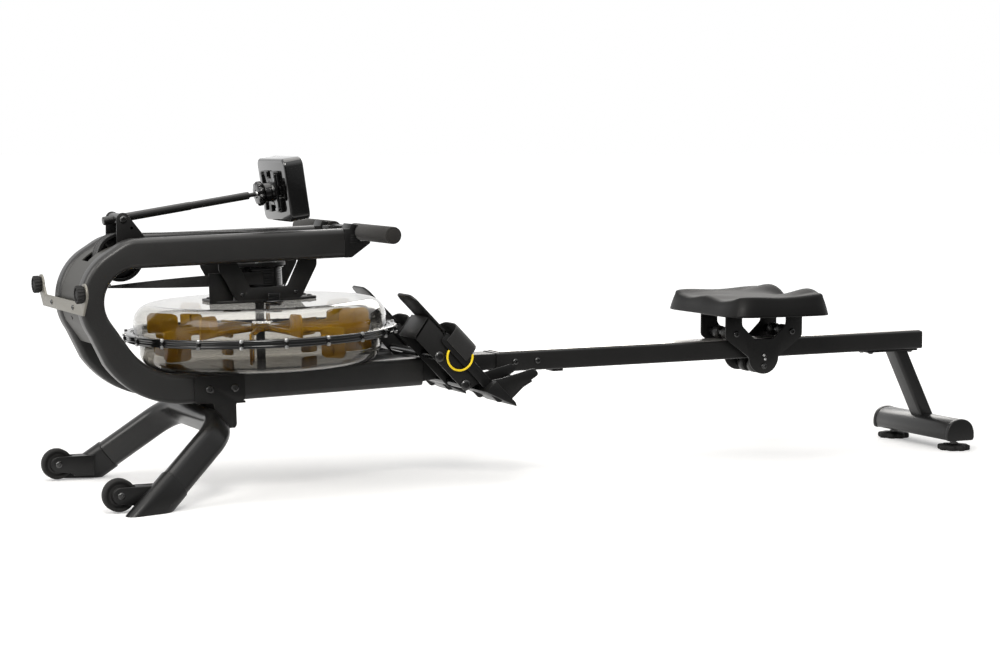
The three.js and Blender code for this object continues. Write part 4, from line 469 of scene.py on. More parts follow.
# Radius and height pairs turned about an axis through a place; flutes draw the radius in
def turned(profile, at, axis="Z", steps=72, closed=False, flutes=0, depth=0.0, roundness=1.0):
    rings = []
    for k in range(steps):
        angle = 2 * math.pi * k / steps
        wave = (0.5 - 0.5 * math.cos(flutes * angle)) ** roundness
        ring = []
        for entry in profile:
            radius, height = entry[:2]
            share = entry[2] if len(entry) > 2 else 1
            reach = radius * (1 - depth * wave * share)
            spot = Vector((reach * math.cos(angle), reach * math.sin(angle), height))
            ring.append(Vector(at) + turnedTo[axis].to_3x3() @ spot)
        rings.append(ring)
    count = len(profile)
    points = [point for ring in rings for point in ring]
    faces = []
    for k in range(steps):
        here, there = k * count, (k + 1) % steps * count
        for i in range(count if closed else count - 1):
            j = (i + 1) % count
            faces.append((here + i, here + j, there + j, there + i))
    return points, faces


def disc(radius, low, high, edge, bore=0):  # half its section
    return [(bore, low), (radius - edge, low), (radius, low + edge), (radius, high - edge),
            (radius - edge, high), (bore, high)]


def bothWays(upper):  # a half section and its mirror image
    return [(radius, -height) for radius, height in reversed(upper)] + upper


def halfTurned(half, x=0):  # an outline whose second half is its first, turned round
    return [(x + u, v) for u, v in half] + [(x - u, -v) for u, v in half]


def rod(radius, low, high, at, axis="Y", steps=32, edge=0.6):
    return turned(disc(radius, low, high, edge), at, axis, steps)


def arc(middle, radius, start, end, steps=10):
    spots = []
    for k in range(steps + 1):
        angle = math.radians(start + (end - start) * k / steps)
        spots.append((middle[0] + radius * math.cos(angle), middle[1] + radius * math.sin(angle)))
    return spots


def roundedRect(width, height, radius, steps=5, at=(0, 0)):
    spots = []
    for quarter, (su, sv) in enumerate(((1, 1), (-1, 1), (-1, -1), (1, -1))):
        middle = (at[0] + su * (width / 2 - radius), at[1] + sv * (height / 2 - radius))
        spots += arc(middle, radius, 90 * quarter, 90 * quarter + 90, steps)
    return spots


# Rounds the corners of an outline by one radius, or less where its sides are short
def softened(outline, radius, steps=4):
    spots = []
    for i, corner in enumerate(outline):
        here = Vector(corner)
        before, after = Vector(outline[i - 1]), Vector(outline[(i + 1) % len(outline)])
        size = min(radius, (before - here).length * 0.45, (after - here).length * 0.45)
        start, end = here + (before - here).normalized() * size, here + (after - here).normalized() * size
        for k in range(steps + 1):
            t = k / steps
            spots.append(tuple(start * (1 - t) ** 2 + here * 2 * t * (1 - t) + end * t ** 2))
    return spots


# A row of corners with round bends, as points
def bentPath(corners, radii, stepAngle=3.0):
    path = []
    for i, (corner, radius) in enumerate(zip(corners, radii)):
        here = Vector(corner)
        if not radius:
            path.append(here)
            continue
        back = (Vector(corners[i - 1]) - here).normalized()
        ahead = (Vector(corners[i + 1]) - here).normalized()
        turn = math.pi - math.acos(back.dot(ahead))
        centre = here + (back + ahead).normalized() * (radius / math.cos(turn / 2))
        start = here + back * (radius * math.tan(turn / 2)) - centre
        way = -1 if back.x * ahead.y - back.y * ahead.x > 0 else 1
        steps = max(2, round(math.degrees(turn) / stepAngle))
        for k in range(steps + 1):
            path.append(centre + Matrix.Rotation(way * turn * k / steps, 2) @ start)
    return path


def headingAt(path, i):
    return (path[min(i + 1, len(path) - 1)] - path[max(i - 1, 0)]).normalized()


# A round wire along a row of points
def wire(points, radius, steps=12):
    points = [Vector(point) for point in points]
    rings = []
    normal = None
    for i, point in enumerate(points):
        heading = headingAt(points, i)
        if normal is None:
            normal = heading.orthogonal().normalized()
        normal = (normal - heading * normal.dot(heading)).normalized()
        side = heading.cross(normal)
        ring = [point + (normal * math.cos(a) + side * math.sin(a)) * radius
                for a in (2 * math.pi * k / steps for k in range(steps))]
        rings.append(ring)
    return loft(rings)


# Pieces

weld = 0.002
sliver = 0.001
edgeAngle = 32


def fromShape(name, shape, finish):
    bmesh.ops.recalc_face_normals(shape, faces=shape.faces)
    mesh = bpy.data.meshes.new(name)
    shape.to_mesh(mesh)
    shape.free()
    if finish:
        mesh.materials.append(finish)
    return linked(name, mesh)


def fillMesh(name, solids, place, finish):
    shape = bmesh.new()
    for points, faces in solids:
        verts = [shape.verts.new(place @ Vector(point)) for point in points]
        for face in faces:
            shape.faces.new([verts[i] for i in face])
        bmesh.ops.remove_doubles(shape, verts=verts, dist=weld * mm)
    bmesh.ops.dissolve_degenerate(shape, edges=shape.edges, dist=sliver * mm)
    return fromShape(name, shape, finish)


def bake(piece):  # modifiers become mesh
    if piece.modifiers:
        ready = piece.evaluated_get(bpy.context.evaluated_depsgraph_get())
        mesh = bpy.data.meshes.new_from_object(ready)
        piece.modifiers.clear()
        piece.data = mesh


def modified(piece, kind, **settings):  # one modifier, made mesh at once
    work = piece.modifiers.new(kind.lower(), kind)
    for key, item in settings.items():
        setattr(work, key, item)
    bake(piece)


def smoothed(piece, angle=38):
    piece.data.shade_smooth()
    piece.data.set_sharp_from_angle(angle=math.radians(angle))


def carve(piece, cutters, place):
    for solid in cutters:
        cutter = fillMesh("cutter", [solid], place, None)
        # A piece may be made of solids that overlap, which use_self allows
        modified(piece, "BOOLEAN", operation="DIFFERENCE", use_self=True, object=cutter)
        bpy.data.objects.remove(cutter)


def addPiece(name, solids, finish, body, nodes=(), place=machine, edge=0.0, segments=2, angle=38, cutters=()):
    piece = fillMesh(name, solids, place, finishes[finish])
    if cutters:
        carve(piece, cutters, place)
    if edge:
        modified(piece, "BEVEL", width=edge * mm, segments=segments, limit_method="ANGLE",
                 angle_limit=math.radians(edgeAngle), use_clamp_overlap=True, miter_outer="MITER_ARC")
    smoothed(piece, angle)
    settle(piece, body, nodes)


def settle(piece, body, nodes=()):
    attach(piece, body)
    if nodes:
        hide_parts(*nodes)


def dress(node, finish):  # a CAD piece that stays, in its own finish
    piece = bpy.data.objects[node]
    for entry in piece.material_slots:
        entry.material = finishes[finish]
    if not piece.material_slots:
        piece.data.materials.append(finishes[finish])


# Geometry node trees that repeat a small piece round a ring or along a row

def newTree(name, inputs):
    tree = bpy.data.node_groups.new(name, "GeometryNodeTree")
    for label, kind in inputs:
        tree.interface.new_socket(label, in_out="INPUT", socket_type=kind)
    tree.interface.new_socket("Geometry", in_out="OUTPUT", socket_type="NodeSocketGeometry")
    return tree


def wired(tree, kind, sockets):  # a node with its inputs linked
    node = tree.nodes.new(kind)
    for key, socket in sockets.items():
        tree.links.new(socket, node.inputs[key])
    return node


def finishTree(tree, points, source, turns=None):
    part = wired(tree, "GeometryNodeObjectInfo", {"Object": source["Piece"]})
    sockets = {"Points": points, "Instance": part.outputs["Geometry"]}
    if turns:
        sockets["Rotation"] = turns
    copies = wired(tree, "GeometryNodeInstanceOnPoints", sockets)
    solid = wired(tree, "GeometryNodeRealizeInstances", {0: copies.outputs[0]})
    coat = wired(tree, "GeometryNodeSetMaterial", {"Geometry": solid.outputs[0],
            "Material": source["Finish"]})
    wired(tree, "NodeGroupOutput", {0: coat.outputs[0]})


def ringTree():
    kinds = (("Piece", "NodeSocketObject"), ("Count", "NodeSocketInt"), ("Radius", "NodeSocketFloat"),
             ("Start", "NodeSocketFloat"), ("Finish", "NodeSocketMaterial"))
    tree = newTree("repeatRound", kinds)
    source = tree.nodes.new("NodeGroupInput").outputs
    circle = wired(tree, "GeometryNodeMeshCircle", {"Vertices": source["Count"], "Radius": source["Radius"]})
    turn = wired(tree, "ShaderNodeCombineXYZ", {"Z": source["Start"]})
    spun = wired(tree, "GeometryNodeTransform", {"Geometry": circle.outputs[0], "Rotation": turn.outputs[0]})
    spot = tree.nodes.new("GeometryNodeInputPosition")
    split = wired(tree, "ShaderNodeSeparateXYZ", {0: spot.outputs[0]})
    bearing = wired(tree, "ShaderNodeMath", {0: split.outputs["Y"], 1: split.outputs["X"]})
    bearing.operation = "ARCTAN2"
    spin = wired(tree, "ShaderNodeCombineXYZ", {"Z": bearing.outputs[0]})
    facing = wired(tree, "FunctionNodeEulerToRotation", {0: spin.outputs[0]})
    finishTree(tree, spun.outputs[0], source, facing.outputs[0])
    return tree


def rowTree():
    kinds = (("Piece", "NodeSocketObject"), ("Count", "NodeSocketInt"), ("Step", "NodeSocketVector"),
             ("Finish", "NodeSocketMaterial"))
    tree = newTree("repeatInRow", kinds)
    source = tree.nodes.new("NodeGroupInput").outputs
    line = wired(tree, "GeometryNodeMeshLine", {"Count": source["Count"], "Offset": source["Step"]})
    finishTree(tree, line.outputs[0], source)
    return tree


roundTree = ringTree()
lineTree = rowTree()


# Copies of a few solids, laid out by a tree and then moved to their place, as one plain piece
def repeated(name, solids, finish, tree, values, place, body, edge=0.0):
    sample = fillMesh("sample", solids, Matrix(), None)
    if edge:
        modified(sample, "BEVEL", width=edge, segments=2)
    holder = linked(name, bpy.data.meshes.new(name))
    work = holder.modifiers.new("repeat", "NODES")
    work.node_group = tree
    keys = {item.name: item.identifier for item in tree.interface.items_tree if item.in_out == "INPUT"}
    for label, item in {**values, "Piece": sample, "Finish": finishes[finish]}.items():
        work[keys[label]] = item
    bake(holder)
    holder.data.transform(place)
    bpy.data.objects.remove(sample)
    smoothed(holder)
    settle(holder, body)


def boltHead(radius, height, socket=0.45):  # button head with a hexagon socket, standing on z = 0
    profile = [(0, 0), (radius, 0), (radius, height * 0.4), (radius * 0.86, height * 0.78),
               (radius * 0.62, height)]
    profile += [(radius * socket, height), (radius * socket, height * 0.35), (0, height * 0.35)]
    return profile


def boltAt(place, radius, height, way, steps=24, axis="Y"):  # on a face that looks along the axis
    profile = [(reach, way * rise) for reach, rise in boltHead(radius, height)]
    return turned(profile, place, axis, steps)


# Side frames

sideFrame = {"span": 82, "width": 42, "depth": 58, "bendDepth": 48.5, "corner": 11, "topEnd": 524,
             "topUnder": 451.2, "lowEnd": 686.5, "lowTop": 237.3, "bendAt": -29.3, "sweepAt": 110.7,
             "bend": 65, "sweep": 136}
bendCentre = (90.9, sideFrame["topUnder"] - sideFrame["bend"])
frameInner = sideFrame["span"] - sideFrame["width"] / 2
frameOuter = sideFrame["span"] + sideFrame["width"] / 2
frameTopFace = sideFrame["topUnder"] + sideFrame["depth"]
frameLowUnder = sideFrame["lowTop"] - sideFrame["depth"]


def frameRings(way):
    s = sideFrame
    corners = [(s["topEnd"], s["topUnder"]), (s["bendAt"], s["topUnder"]), (s["sweepAt"], s["lowTop"]),
               (s["lowEnd"], s["lowTop"])]
    path = bentPath(corners, [0, s["bend"], s["sweep"], 0])
    bendStart = path[1]
    rings = []
    for i, spot in enumerate(path):
        heading = headingAt(path, i)
        out = Vector((heading.y, -heading.x))
        inBend = (spot - Vector(bendCentre)).length < s["bend"] + 0.01
        share = min(1, (spot - bendStart).length / (s["bend"] / 2)) if inBend else 0
        share = share * share * (3 - 2 * share)
        depth = s["depth"] + (s["bendDepth"] - s["depth"]) * share
        ring = []
        for u, v in roundedRect(s["width"], depth, s["corner"], 6):
            reach = v + depth / 2
            ring.append((spot.x + out.x * reach, way * s["span"] + u, spot.y + out.y * reach))
        rings.append(ring)
    return rings


def addSideFrames():
    for side, way in sides:
        addPiece(f"{side}_frame_tube", [loft(frameRings(way))], "frameCoat", "frame", [f"{side}_side_frame"],
                 frontUnit, edge=1.2, segments=2, angle=50)


# Cover plate, bent round the front between the tubes, with the pulley's slot

cover = {"recess": 4, "thick": 3, "low": -21, "top": 84, "slot": 47, "slotWidth": 44, "tail": 52,
         "tailTurn": 12, "tailRows": 4, "rows": 42, "hole": 4, "holeTurn": 4.5, "holeReach": 12, "edge": 0.4,
         "crease": 30}
coverProbe = 60  # a face of the bend, which tells the way that the plate faces


def coverRows(radius):  # places up the plate, and whether its slot is open there
    c = cover
    start = 180 - c["low"]
    turn = math.radians(start + 90 + c["tailTurn"])
    foot = arc(bendCentre, radius, start, start, 1)[0]
    rows = []
    for k in range(c["tailRows"] + 1):
        reach = c["tail"] * (1 - k / c["tailRows"])
        rows.append((foot[0] + reach * math.cos(turn), foot[1] + reach * math.sin(turn), False))
    for k in range(1, c["rows"] + 1):
        angle = c["low"] + (c["top"] - c["low"]) * k / c["rows"]
        x, z = arc(bendCentre, radius, 180 - angle, 180 - angle, 1)[0]
        rows.append((x, z, angle > c["slot"]))
    return rows


def addCover():
    c = cover
    radius = sideFrame["bend"] + sideFrame["bendDepth"] - c["recess"]
    half, slotHalf = frameInner - gap, c["slotWidth"] / 2
    rows = coverRows(radius)
    columns = (-half, -slotHalf, slotHalf, half)
    count = len(columns)
    points = [(x, y, z) for x, z, _ in rows for y in columns]
    faces = []
    for k in range(len(rows) - 1):
        for i in range(count - 1):
            if i == 1 and rows[k + 1][2]:
                continue
            a = k * count + i
            faces.append((a, a + 1, a + count + 1, a + count))
    # the plate's steel is the strip's steel in a darkened copy, painted shade
    piece = fillMesh("cover_plate", [(points, faces)], frontUnit, finishes["coverSteelShaded"])
    centre = frontUnit @ Vector((bendCentre[0], 0, bendCentre[1]))
    face = piece.data.polygons[coverProbe]
    outward = (face.center - centre).dot(face.normal) > 0
    modified(piece, "SOLIDIFY", thickness=c["thick"] * mm, offset=-1 if outward else 1)
    x, z = arc(bendCentre, radius, 180 - c["low"] - c["holeTurn"], 180, 1)[0]
    carve(piece, [rod(c["hole"], -c["holeReach"], c["holeReach"], (x, 0, z), "X")], frontUnit)
    modified(piece, "BEVEL", width=c["edge"] * mm, limit_method="ANGLE")
    smoothed(piece, c["crease"])
    settle(piece, "frame", ["front_cover"])


# Storage bracket: a strip with an ear at each end, and the rubber feet that it stands on when stored

storage = {"half": 150, "neck": 128, "at": 382, "height": 24, "ear": (163, 412.5), "earRadius": 20,
           "sheet": 4, "back": -28.9, "bolt": 80, "bolts": (5, 2.5), "boss": 7, "bossBack": -22.9,
           "earTurn": 22.5, "foot": 17.5, "footLength": 15, "flutes": 16, "fluteDepth": 0.085}


def addStorage():
    s = storage
    low, high = s["at"] - s["height"] / 2, s["at"] + s["height"] / 2
    ey, ez = s["ear"]
    outline = [(-s["half"], low), (s["half"], low)] + arc((ey, ez), s["earRadius"], -s["earTurn"], 180, 22)
    outline += [(s["neck"], high), (-s["neck"], high)] + arc((-ey, ez), s["earRadius"], 0,
            180 + s["earTurn"], 22)
    strip = prism(outline, s["back"] - s["sheet"], s["back"], "X")
    bosses = [rod(s["boss"], s["back"] - 0.5, s["bossBack"], (0, way * s["bolt"], s["at"]), "X") for _,
              way in sides]
    # the strip's steel is the cover's steel in a lightened copy, painted light
    addPiece("storage_strip", [strip, *bosses], "stripSteelLit", "frame", ["storage_bracket"], frontUnit,
             edge=0.7)
    heads = [boltAt((s["back"] - s["sheet"], way * s["bolt"], s["at"]), *s["bolts"], -1, axis="X") for _,
             way in sides]
    addPiece("storage_bolts", heads, "boltBlack", "frame", place=frontUnit)
    front = s["back"] - s["sheet"] - gap
    r, long = s["foot"], s["footLength"]
    profile = [(0, 0, 0), (r - 2.5, 0, 0.2), (r - 1.5, -1.5, 0.4), (r, -4), (r, -long + 1.2),
               (r - 1.2, -long), (r - 4, -long, 0.6), (r - 5, -long + 2.5, 0.3), (r - 9, -long + 3, 0),
               (r - 10, -long + 1, 0), (0, -long + 1, 0)]
    for side, way in sides:
        foot = turned(profile, (front, way * ey, ez), "X", 160, flutes=s["flutes"], depth=s["fluteDepth"],
                      roundness=0.5)
        addPiece(f"{side}_ribbed_foot", [foot], "rubber", "frame", [f"{side}_storage_foot"], frontUnit,
                 angle=50)


# Handle rests, handle and grips

handle = {"at": (547.6, 518.4), "half": 264, "grip": 17, "gripStart": 58, "bar": 11.5, "endWall": 3,
          "yoke": (30, 44, 20), "yokeCorner": 6, "slotCorner": 3, "wall": 5}
lean = math.radians(frameTilt)
handleLocal = (handle["at"][0] * math.cos(lean) + handle["at"][1] * math.sin(lean),
               handle["at"][1] * math.cos(lean) - handle["at"][0] * math.sin(lean))
rest = {"length": 42, "hump": 10, "saddle": 18, "saddleEnd": -237.6, "lip": 15, "lipTop": 4, "chamfer": 28,
        "ribs": 4, "ribStep": 5, "ribFrom": (12, 14), "ribLong": 12, "ribTall": 1.6, "ribProud": 0.4}


def addHandleRests():
    r = rest
    hx, hz = handleLocal
    front = sideFrame["topEnd"] + gap
    saddleFoot = hz - r["saddle"]
    outline = [(front, sideFrame["topUnder"]), (front + r["length"] - r["chamfer"], sideFrame["topUnder"]),
               (hx + r["lip"], saddleFoot - r["hump"] / 2), (hx + r["lip"], saddleFoot), (hx + r["lipTop"],
            saddleFoot)]
    outline += arc((hx, hz), r["saddle"], -90, r["saddleEnd"], 18)
    outline += [(front + r["length"] / 3, frameTopFace + r["hump"]), (front + r["hump"], frameTopFace),
                (front, frameTopFace)]
    for side, way in sides:
        low, high = spanOf(way, frameInner, frameOuter)
        solids = [prism(outline, low, high)]
        ribX, ribDown = front + r["ribFrom"][0], r["ribFrom"][1]
        for k in range(r["ribs"]):
            z = frameTopFace - ribDown - k * r["ribStep"]
            solids.append(block((ribX, low - r["ribProud"], z), (ribX + r["ribLong"], high + r["ribProud"],
                    z + r["ribTall"])))
        addPiece(f"{side}_rest_cap", solids, "plastic", "frame", [f"{side}_handle_rest"], frontUnit,
                 edge=1.4, segments=3)


def addHandle():
    h = handle
    x, z = h["at"]
    reach = h["half"] - h["endWall"] - gap
    long, wide, tall = h["yoke"]
    front = x - long - h["bar"]
    bar = rod(h["bar"], -reach, reach, (x, 0, z), "Y", 48)
    outer = roundedRect(long + h["bar"], wide, h["yokeCorner"], 5, ((front + x) / 2, 0))
    slotLow, slotHigh = front + h["wall"], x - h["bar"] - h["wall"] / 2
    inner = roundedRect(slotHigh - slotLow, strap["width"] + 2 * h["wall"], h["slotCorner"], 5,
                        ((slotLow + slotHigh) / 2, 0))
    low, high = z - tall / 2, z + tall / 2
    loops = [[(u, v, level) for u, v in edge]
             for edge, level in ((outer, low), (outer, high), (inner, high), (inner, low))]
    addPiece("pull_bar", [bar, loft(loops, closed=True)], "blackCoat", "handle", ["handle_bar"], edge=1.2)
    g = h["grip"]
    for side, way in sides:
        low, high = h["gripStart"], h["half"]
        profile = [(0, low + 0.5), (g - 3, low + 0.5), (g - 1, low), (g, low + 1.4), (g, high - 2.2),
                   (g - 0.6, high - 0.8), (g - 2, high - 0.2), (g - 2.8, high - 1), (g - 3.4, high - 0.1),
                   (0, high)]
        solid = turned([(r, way * y) for r, y in profile], (x, 0, z), "Y", 72)
        addPiece(f"{side}_foam_grip", [solid], "foam", "handle", [f"{side}_grip"], angle=60)


# Straps: flat bands with a map of their own for the weave

def ribbon(name, centres, across, normals, width, thick, finish, place, nodes, rib=None):
    shape = bmesh.new()
    layer = shape.loops.layers.uv.new("strap")
    columns = 9 if rib else 3
    rows = []
    lengths = [0.0]
    for i in range(1, len(centres)):
        lengths.append(lengths[-1] + (centres[i] - centres[i - 1]).length)
    section = [(k / (columns - 1) * 2 - 1, 1) for k in range(columns)]
    section += [(k / (columns - 1) * 2 - 1, -1) for k in reversed(range(columns))]
    for i, (centre, side, normal) in enumerate(zip(centres, across, normals)):
        row = []
        for u, v in section:
            edge = 1 - 0.35 * (abs(u) > 0.99)
            lift = rib(u, lengths[i]) if rib and v > 0 else 0
            spot = centre + side * (u * width / 2) + normal * (v * thick / 2 * edge + lift)
            row.append(shape.verts.new(place @ spot))
        rows.append(row)
    count = len(section)
    for i in range(len(rows) - 1):
        for j in range(count):
            k = (j + 1) % count
            face = shape.faces.new((rows[i][j], rows[i][k], rows[i + 1][k], rows[i + 1][j]))
            ends = ((section[j][0], i), (section[k][0], i), (section[k][0], i + 1), (section[j][0], i + 1))
            for loop, (u, row) in zip(face.loops, ends):
                loop[layer].uv = (u * width / 2 * mm, lengths[row] * mm)
    shape.faces.new(rows[0])
    shape.faces.new(rows[-1])
    piece = fromShape(name, shape, finishes[finish])
    smoothed(piece, 60)
    if nodes:
        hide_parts(*nodes)
    return piece


pulley = {"at": (82.8, 469.6), "radius": 48, "width": 36, "rim": 4, "groove": 45, "bore": 8, "web": 8,
          "hub": 14, "edge": 1.0, "ribs": 6, "ribStart": 15, "ribHalf": 1.5}
idler = {"at": (47, 419.5), "radius": 7, "width": 30, "pin": 3}
guide = {"at": (280, -23.5), "radius": 6, "pin": 2.5, "inset": 0.2}
strap = {"width": 25, "thick": 2, "runSteps": 30, "wrapSteps": 30, "idleSteps": 8, "twistSteps": 40,
         "twistLead": 1.02}
drum = {"radius": 47, "low": 395, "top": 437, "rim": 4, "rimThick": 3, "edge": 0.8, "coils": 7, "coilStep": 5}
tankAt = 374
tankAxis = (tankAt, 0, 0)
tankUnit = frontUnit @ Matrix.Translation(tankAxis)


def onCircle(middle, radius, angle):
    return Vector((middle[0] + radius * math.cos(angle), 0, middle[1] + radius * math.sin(angle)))


def addPullStrap():
    lift = strap["thick"] / 2 + gap
    px, pz = pulley["at"]
    ix, iz = idler["at"]
    wrap, turnIn = pulley["groove"] + lift, idler["radius"] + lift
    yokeEnd = handleLocal[0] - handle["yoke"][0] - handle["bar"]
    startHeight = handleLocal[1] + (handleLocal[0] - yokeEnd) * math.tan(lean)
    toIdler = math.atan2(iz - pz, ix - px)
    leave = toIdler + math.acos((wrap - turnIn) / math.hypot(ix - px, iz - pz))
    leave = 2 * toIdler - leave + 2 * math.pi
    start = math.pi / 2 - lean
    spots = []
    first = (px + wrap * math.cos(start), pz + wrap * math.sin(start))
    for k in range(strap["runSteps"]):
        t = k / strap["runSteps"]
        spots.append((Vector((yokeEnd + (first[0] - yokeEnd) * t, 0,
                startHeight + (first[1] - startHeight) * t)), 0))
    for k in range(strap["wrapSteps"] + 1):
        angle = start + (leave - start) * k / strap["wrapSteps"]
        spots.append((onCircle(pulley["at"], wrap, angle), 0))
    for k in range(strap["idleSteps"] + 1):
        angle = leave + (math.pi * 1.5 - leave) * k / strap["idleSteps"]
        spots.append((onCircle(idler["at"], turnIn, angle), 0))
    drumWrap = drum["radius"] + lift
    reach = tankAt - ix
    runStart = Vector((ix, 0, iz - turnIn))
    runEnd = Vector((tankAt - drumWrap ** 2 / reach, -drumWrap * math.sqrt(1 - (drumWrap / reach) ** 2),
                     (drum["low"] + drum["top"]) / 2))
    for k in range(1, strap["twistSteps"] + 1):
        t = k / strap["twistSteps"]
        spots.append((runStart.lerp(runEnd, t), math.pi / 2 * min(1, t * strap["twistLead"])))
    centres = [spot for spot, _ in spots]
    across, normals = [], []
    for i, (_, tilt) in enumerate(spots):
        heading = headingAt(centres, i)
        side = Matrix.Rotation(tilt, 3, heading) @ Vector((0, 1, 0))
        side = (side - heading * side.dot(heading)).normalized()
        across.append(side)
        normals.append(heading.cross(side))
    split = strap["runSteps"]  # the run to the handle is made as a piece of its own, and the rest, round its rollers, goes with the frame
    wound = ribbon("drum_webbing", centres[split:], across[split:], normals[split:], strap["width"],
                   strap["thick"], "webbing", frontUnit, [])
    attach(wound, "frame")
    return ribbon("pull_webbing", centres[:split + 1], across[:split + 1], normals[:split + 1],
                  strap["width"], strap["thick"], "webbing", frontUnit, ["pull_strap"])


def addPulleys():
    p = pulley
    half, web, floor = p["width"] / 2, p["web"] / 2, p["groove"] - p["rim"]
    r, e = p["radius"], p["edge"]
    quarter = [(p["bore"], half), (p["hub"] - e, half), (p["hub"], half - e), (p["hub"] + 1, web + 1),
               (p["hub"] + 2, web), (floor - 2, web), (floor, web + 2), (floor, half - e), (floor + e, half),
               (r - e, half), (r, half - e), (r, half - p["rim"] + e), (r - e, half - p["rim"]),
               (p["groove"], half - p["rim"] - 0.8)]
    profile = quarter + [(radius, -height) for radius, height in reversed(quarter)]
    at = (p["at"][0], 0, p["at"][1])
    ribs = []
    for k in range(p["ribs"]):
        angle = math.radians(360 / p["ribs"] * k + p["ribStart"])
        spots = [(p["hub"] - 1, -p["ribHalf"]), (floor + 1, -p["ribHalf"]), (floor + 1, p["ribHalf"]),
                 (p["hub"] - 1, p["ribHalf"])]
        turn = [(at[0] + u * math.cos(angle) - v * math.sin(angle), at[2] + u * math.sin(angle)
                 + v * math.cos(angle)) for u, v in spots]
        ribs.append(prism(turn, -half + 3, half - 3))
    addPiece("belt_pulley", [turned(profile, at, "Y", 96, closed=True), *ribs], "plastic", "pulley",
             ["front_pulley"], frontUnit)
    reach = frameInner - gap
    axle = [rod(p["bore"] - gap, -reach, reach, at, "Y", 32)]
    for _, way in sides:
        low, high = spanOf(way, half + running, reach)
        axle.append(rod(p["bore"] + running, low, high, at, "Y", 32))
    addPiece("pulley_pin", axle, "zinc", "frame", ["pulley_axle"], frontUnit)
    i = idler
    at = (i["at"][0], 0, i["at"][1])
    roller = [rod(i["radius"], -i["width"] / 2, i["width"] / 2, at, "Y", 32), rod(i["pin"], -reach, reach,
            at, "Y", 20)]
    addPiece("idler_roller", roller, "stainless", "idler", ["strap_idler"], frontUnit)
    low, high = boxOf("strap_guide")
    g = guide
    bottom = (frontUnit.inverted() @ ((low + high) / 2)).z - (high.z - low.z) / mm / 2
    top = bottom + (high.z - low.z) / mm
    at = (*g["at"], 0)
    roller = [rod(g["radius"], bottom + running, top, at, "Z", 32),
              rod(g["pin"], bottom + g["inset"], top - g["inset"], at, "Z", 20)]
    addPiece("guide_roller", roller, "boltBlack", "guide", ["strap_guide"], frontUnit)


# Tank, gasket, bolts and paddles

tank = {"flange": 270.8, "under": 298, "thick": 4.5, "upper": 256, "top": 368, "fillet": 38, "lower": 245,
        "bottom": 241.5, "lowFillet": 30, "wall": 4, "hole": 15, "water": 17, "waterAt": -86, "bolts": 20,
        "rim": 1.8, "gasket": 3, "boltAt": 4.9, "edge": 0.8, "rimWidth": 8, "rimEdge": 1.4, "steps": 160}


def aroundTank(profile, closed=True):
    return turned(profile, tankAxis, "Z", tank["steps"], closed=closed)


def addTankTop():
    t = tank
    base = t["under"] + t["thick"] + t["gasket"] + gap
    face = base + t["thick"]
    r, top, f, w, e = t["upper"], t["top"], t["fillet"], t["wall"], t["edge"]
    outer, inner = (arc((r - f, top - f), f - inset, 0, 90, 16) for inset in (0, w))
    profile = [(t["flange"], base + e), (t["flange"], face - e), (t["flange"] - e, face), (r + 2.5, face),
               (r + 0.7, face + 0.7), (r, face + 2.5), *outer, (t["hole"], top), (t["hole"], top - w),
               *reversed(inner), (r - w, base), (t["flange"] - e, base)]
    hole = rod(t["water"], top - w - 8, top + 8, (tankAt, t["waterAt"], 0), "Z", 48)
    addPiece("clear_tank_top", [aroundTank(profile)], "clear", "frame", ["tank_upper_shell"], frontUnit,
             cutters=[hole], angle=45)


def addTankBowl():
    t = tank
    under, face = t["under"], t["under"] + t["thick"]
    r, bottom, f, w, e = t["lower"], t["bottom"], t["lowFillet"], t["wall"], t["edge"]
    outer, inner = (arc((r - f, bottom + f), f - inset, -90, 0, 14) for inset in (0, w))
    profile = [(0, bottom), *outer, (r, under - 2), (r + 1.2, under - 0.6), (r + 3, under), (t["flange"] - e,
            under), (t["flange"], under + e), (t["flange"], face - e), (t["flange"] - e, face),
               (r - w, face), *reversed(inner), (0, bottom + w)]
    addPiece("smoked_tank_bowl", [aroundTank(profile, closed=False)], "smoke", "frame", ["tank_lower_shell"],
             frontUnit, angle=45)


def addTankRing():
    t = tank
    face = t["under"] + t["thick"]
    low, high = face + gap / 2, face + t["gasket"] + gap / 2
    boltRing = t["flange"] + t["boltAt"]
    inner, lip = t["upper"] + 3, boltRing - 1.5
    ring = aroundTank([(inner, low), (lip, low), (lip + 0.4, (low + high) / 2), (lip, high), (inner, high)])
    addPiece("tank_gasket", [ring], "gloss", "frame", ["tank_clamp_ring"], frontUnit)
    base = face + t["gasket"] + gap
    outer, inside, e = boltRing - 0.1, t["flange"] - t["rimWidth"], t["rimEdge"]
    rims = []
    for start, end in ((t["under"] - t["rim"], face + gap / 4), (base - gap / 4, base + t["thick"]
            + t["rim"])):
        rims.append(aroundTank(disc(outer, start, end, e, inside)))
    addPiece("tank_rims", rims, "gloss", "frame", place=frontUnit, angle=50)
    above, below = high + t["thick"] + gap, low - t["thick"] - gap
    bolt = [(0, above + 3.4), (2.8, above + 3.4), (3.4, above + 2.6), (3.4, above - 1), (4.5, above - 1),
            (4.5, above - 1.8), (1.6, above - 1.8), (1.6, below + 1.8), (4.5, below + 1.8), (4.5, below + 1),
            (3.6, below + 1), (3.6, below - 2.6), (2.6, below - 3.4), (0, below - 3.4)]
    lug = prism(roundedRect(12, 9, 3, 4, (-3.2, 0)), low - 1.2, high + 1.2, "Z")
    around = {"Count": t["bolts"], "Radius": boltRing, "Start": math.pi / t["bolts"]}
    repeated("tank_bolts", [turned(bolt, (0, 0, 0), "Z", 6)], "zinc", roundTree, around, tankUnit, "frame")
    repeated("gasket_lugs", [lug], "gloss", roundTree, around, tankUnit, "frame")


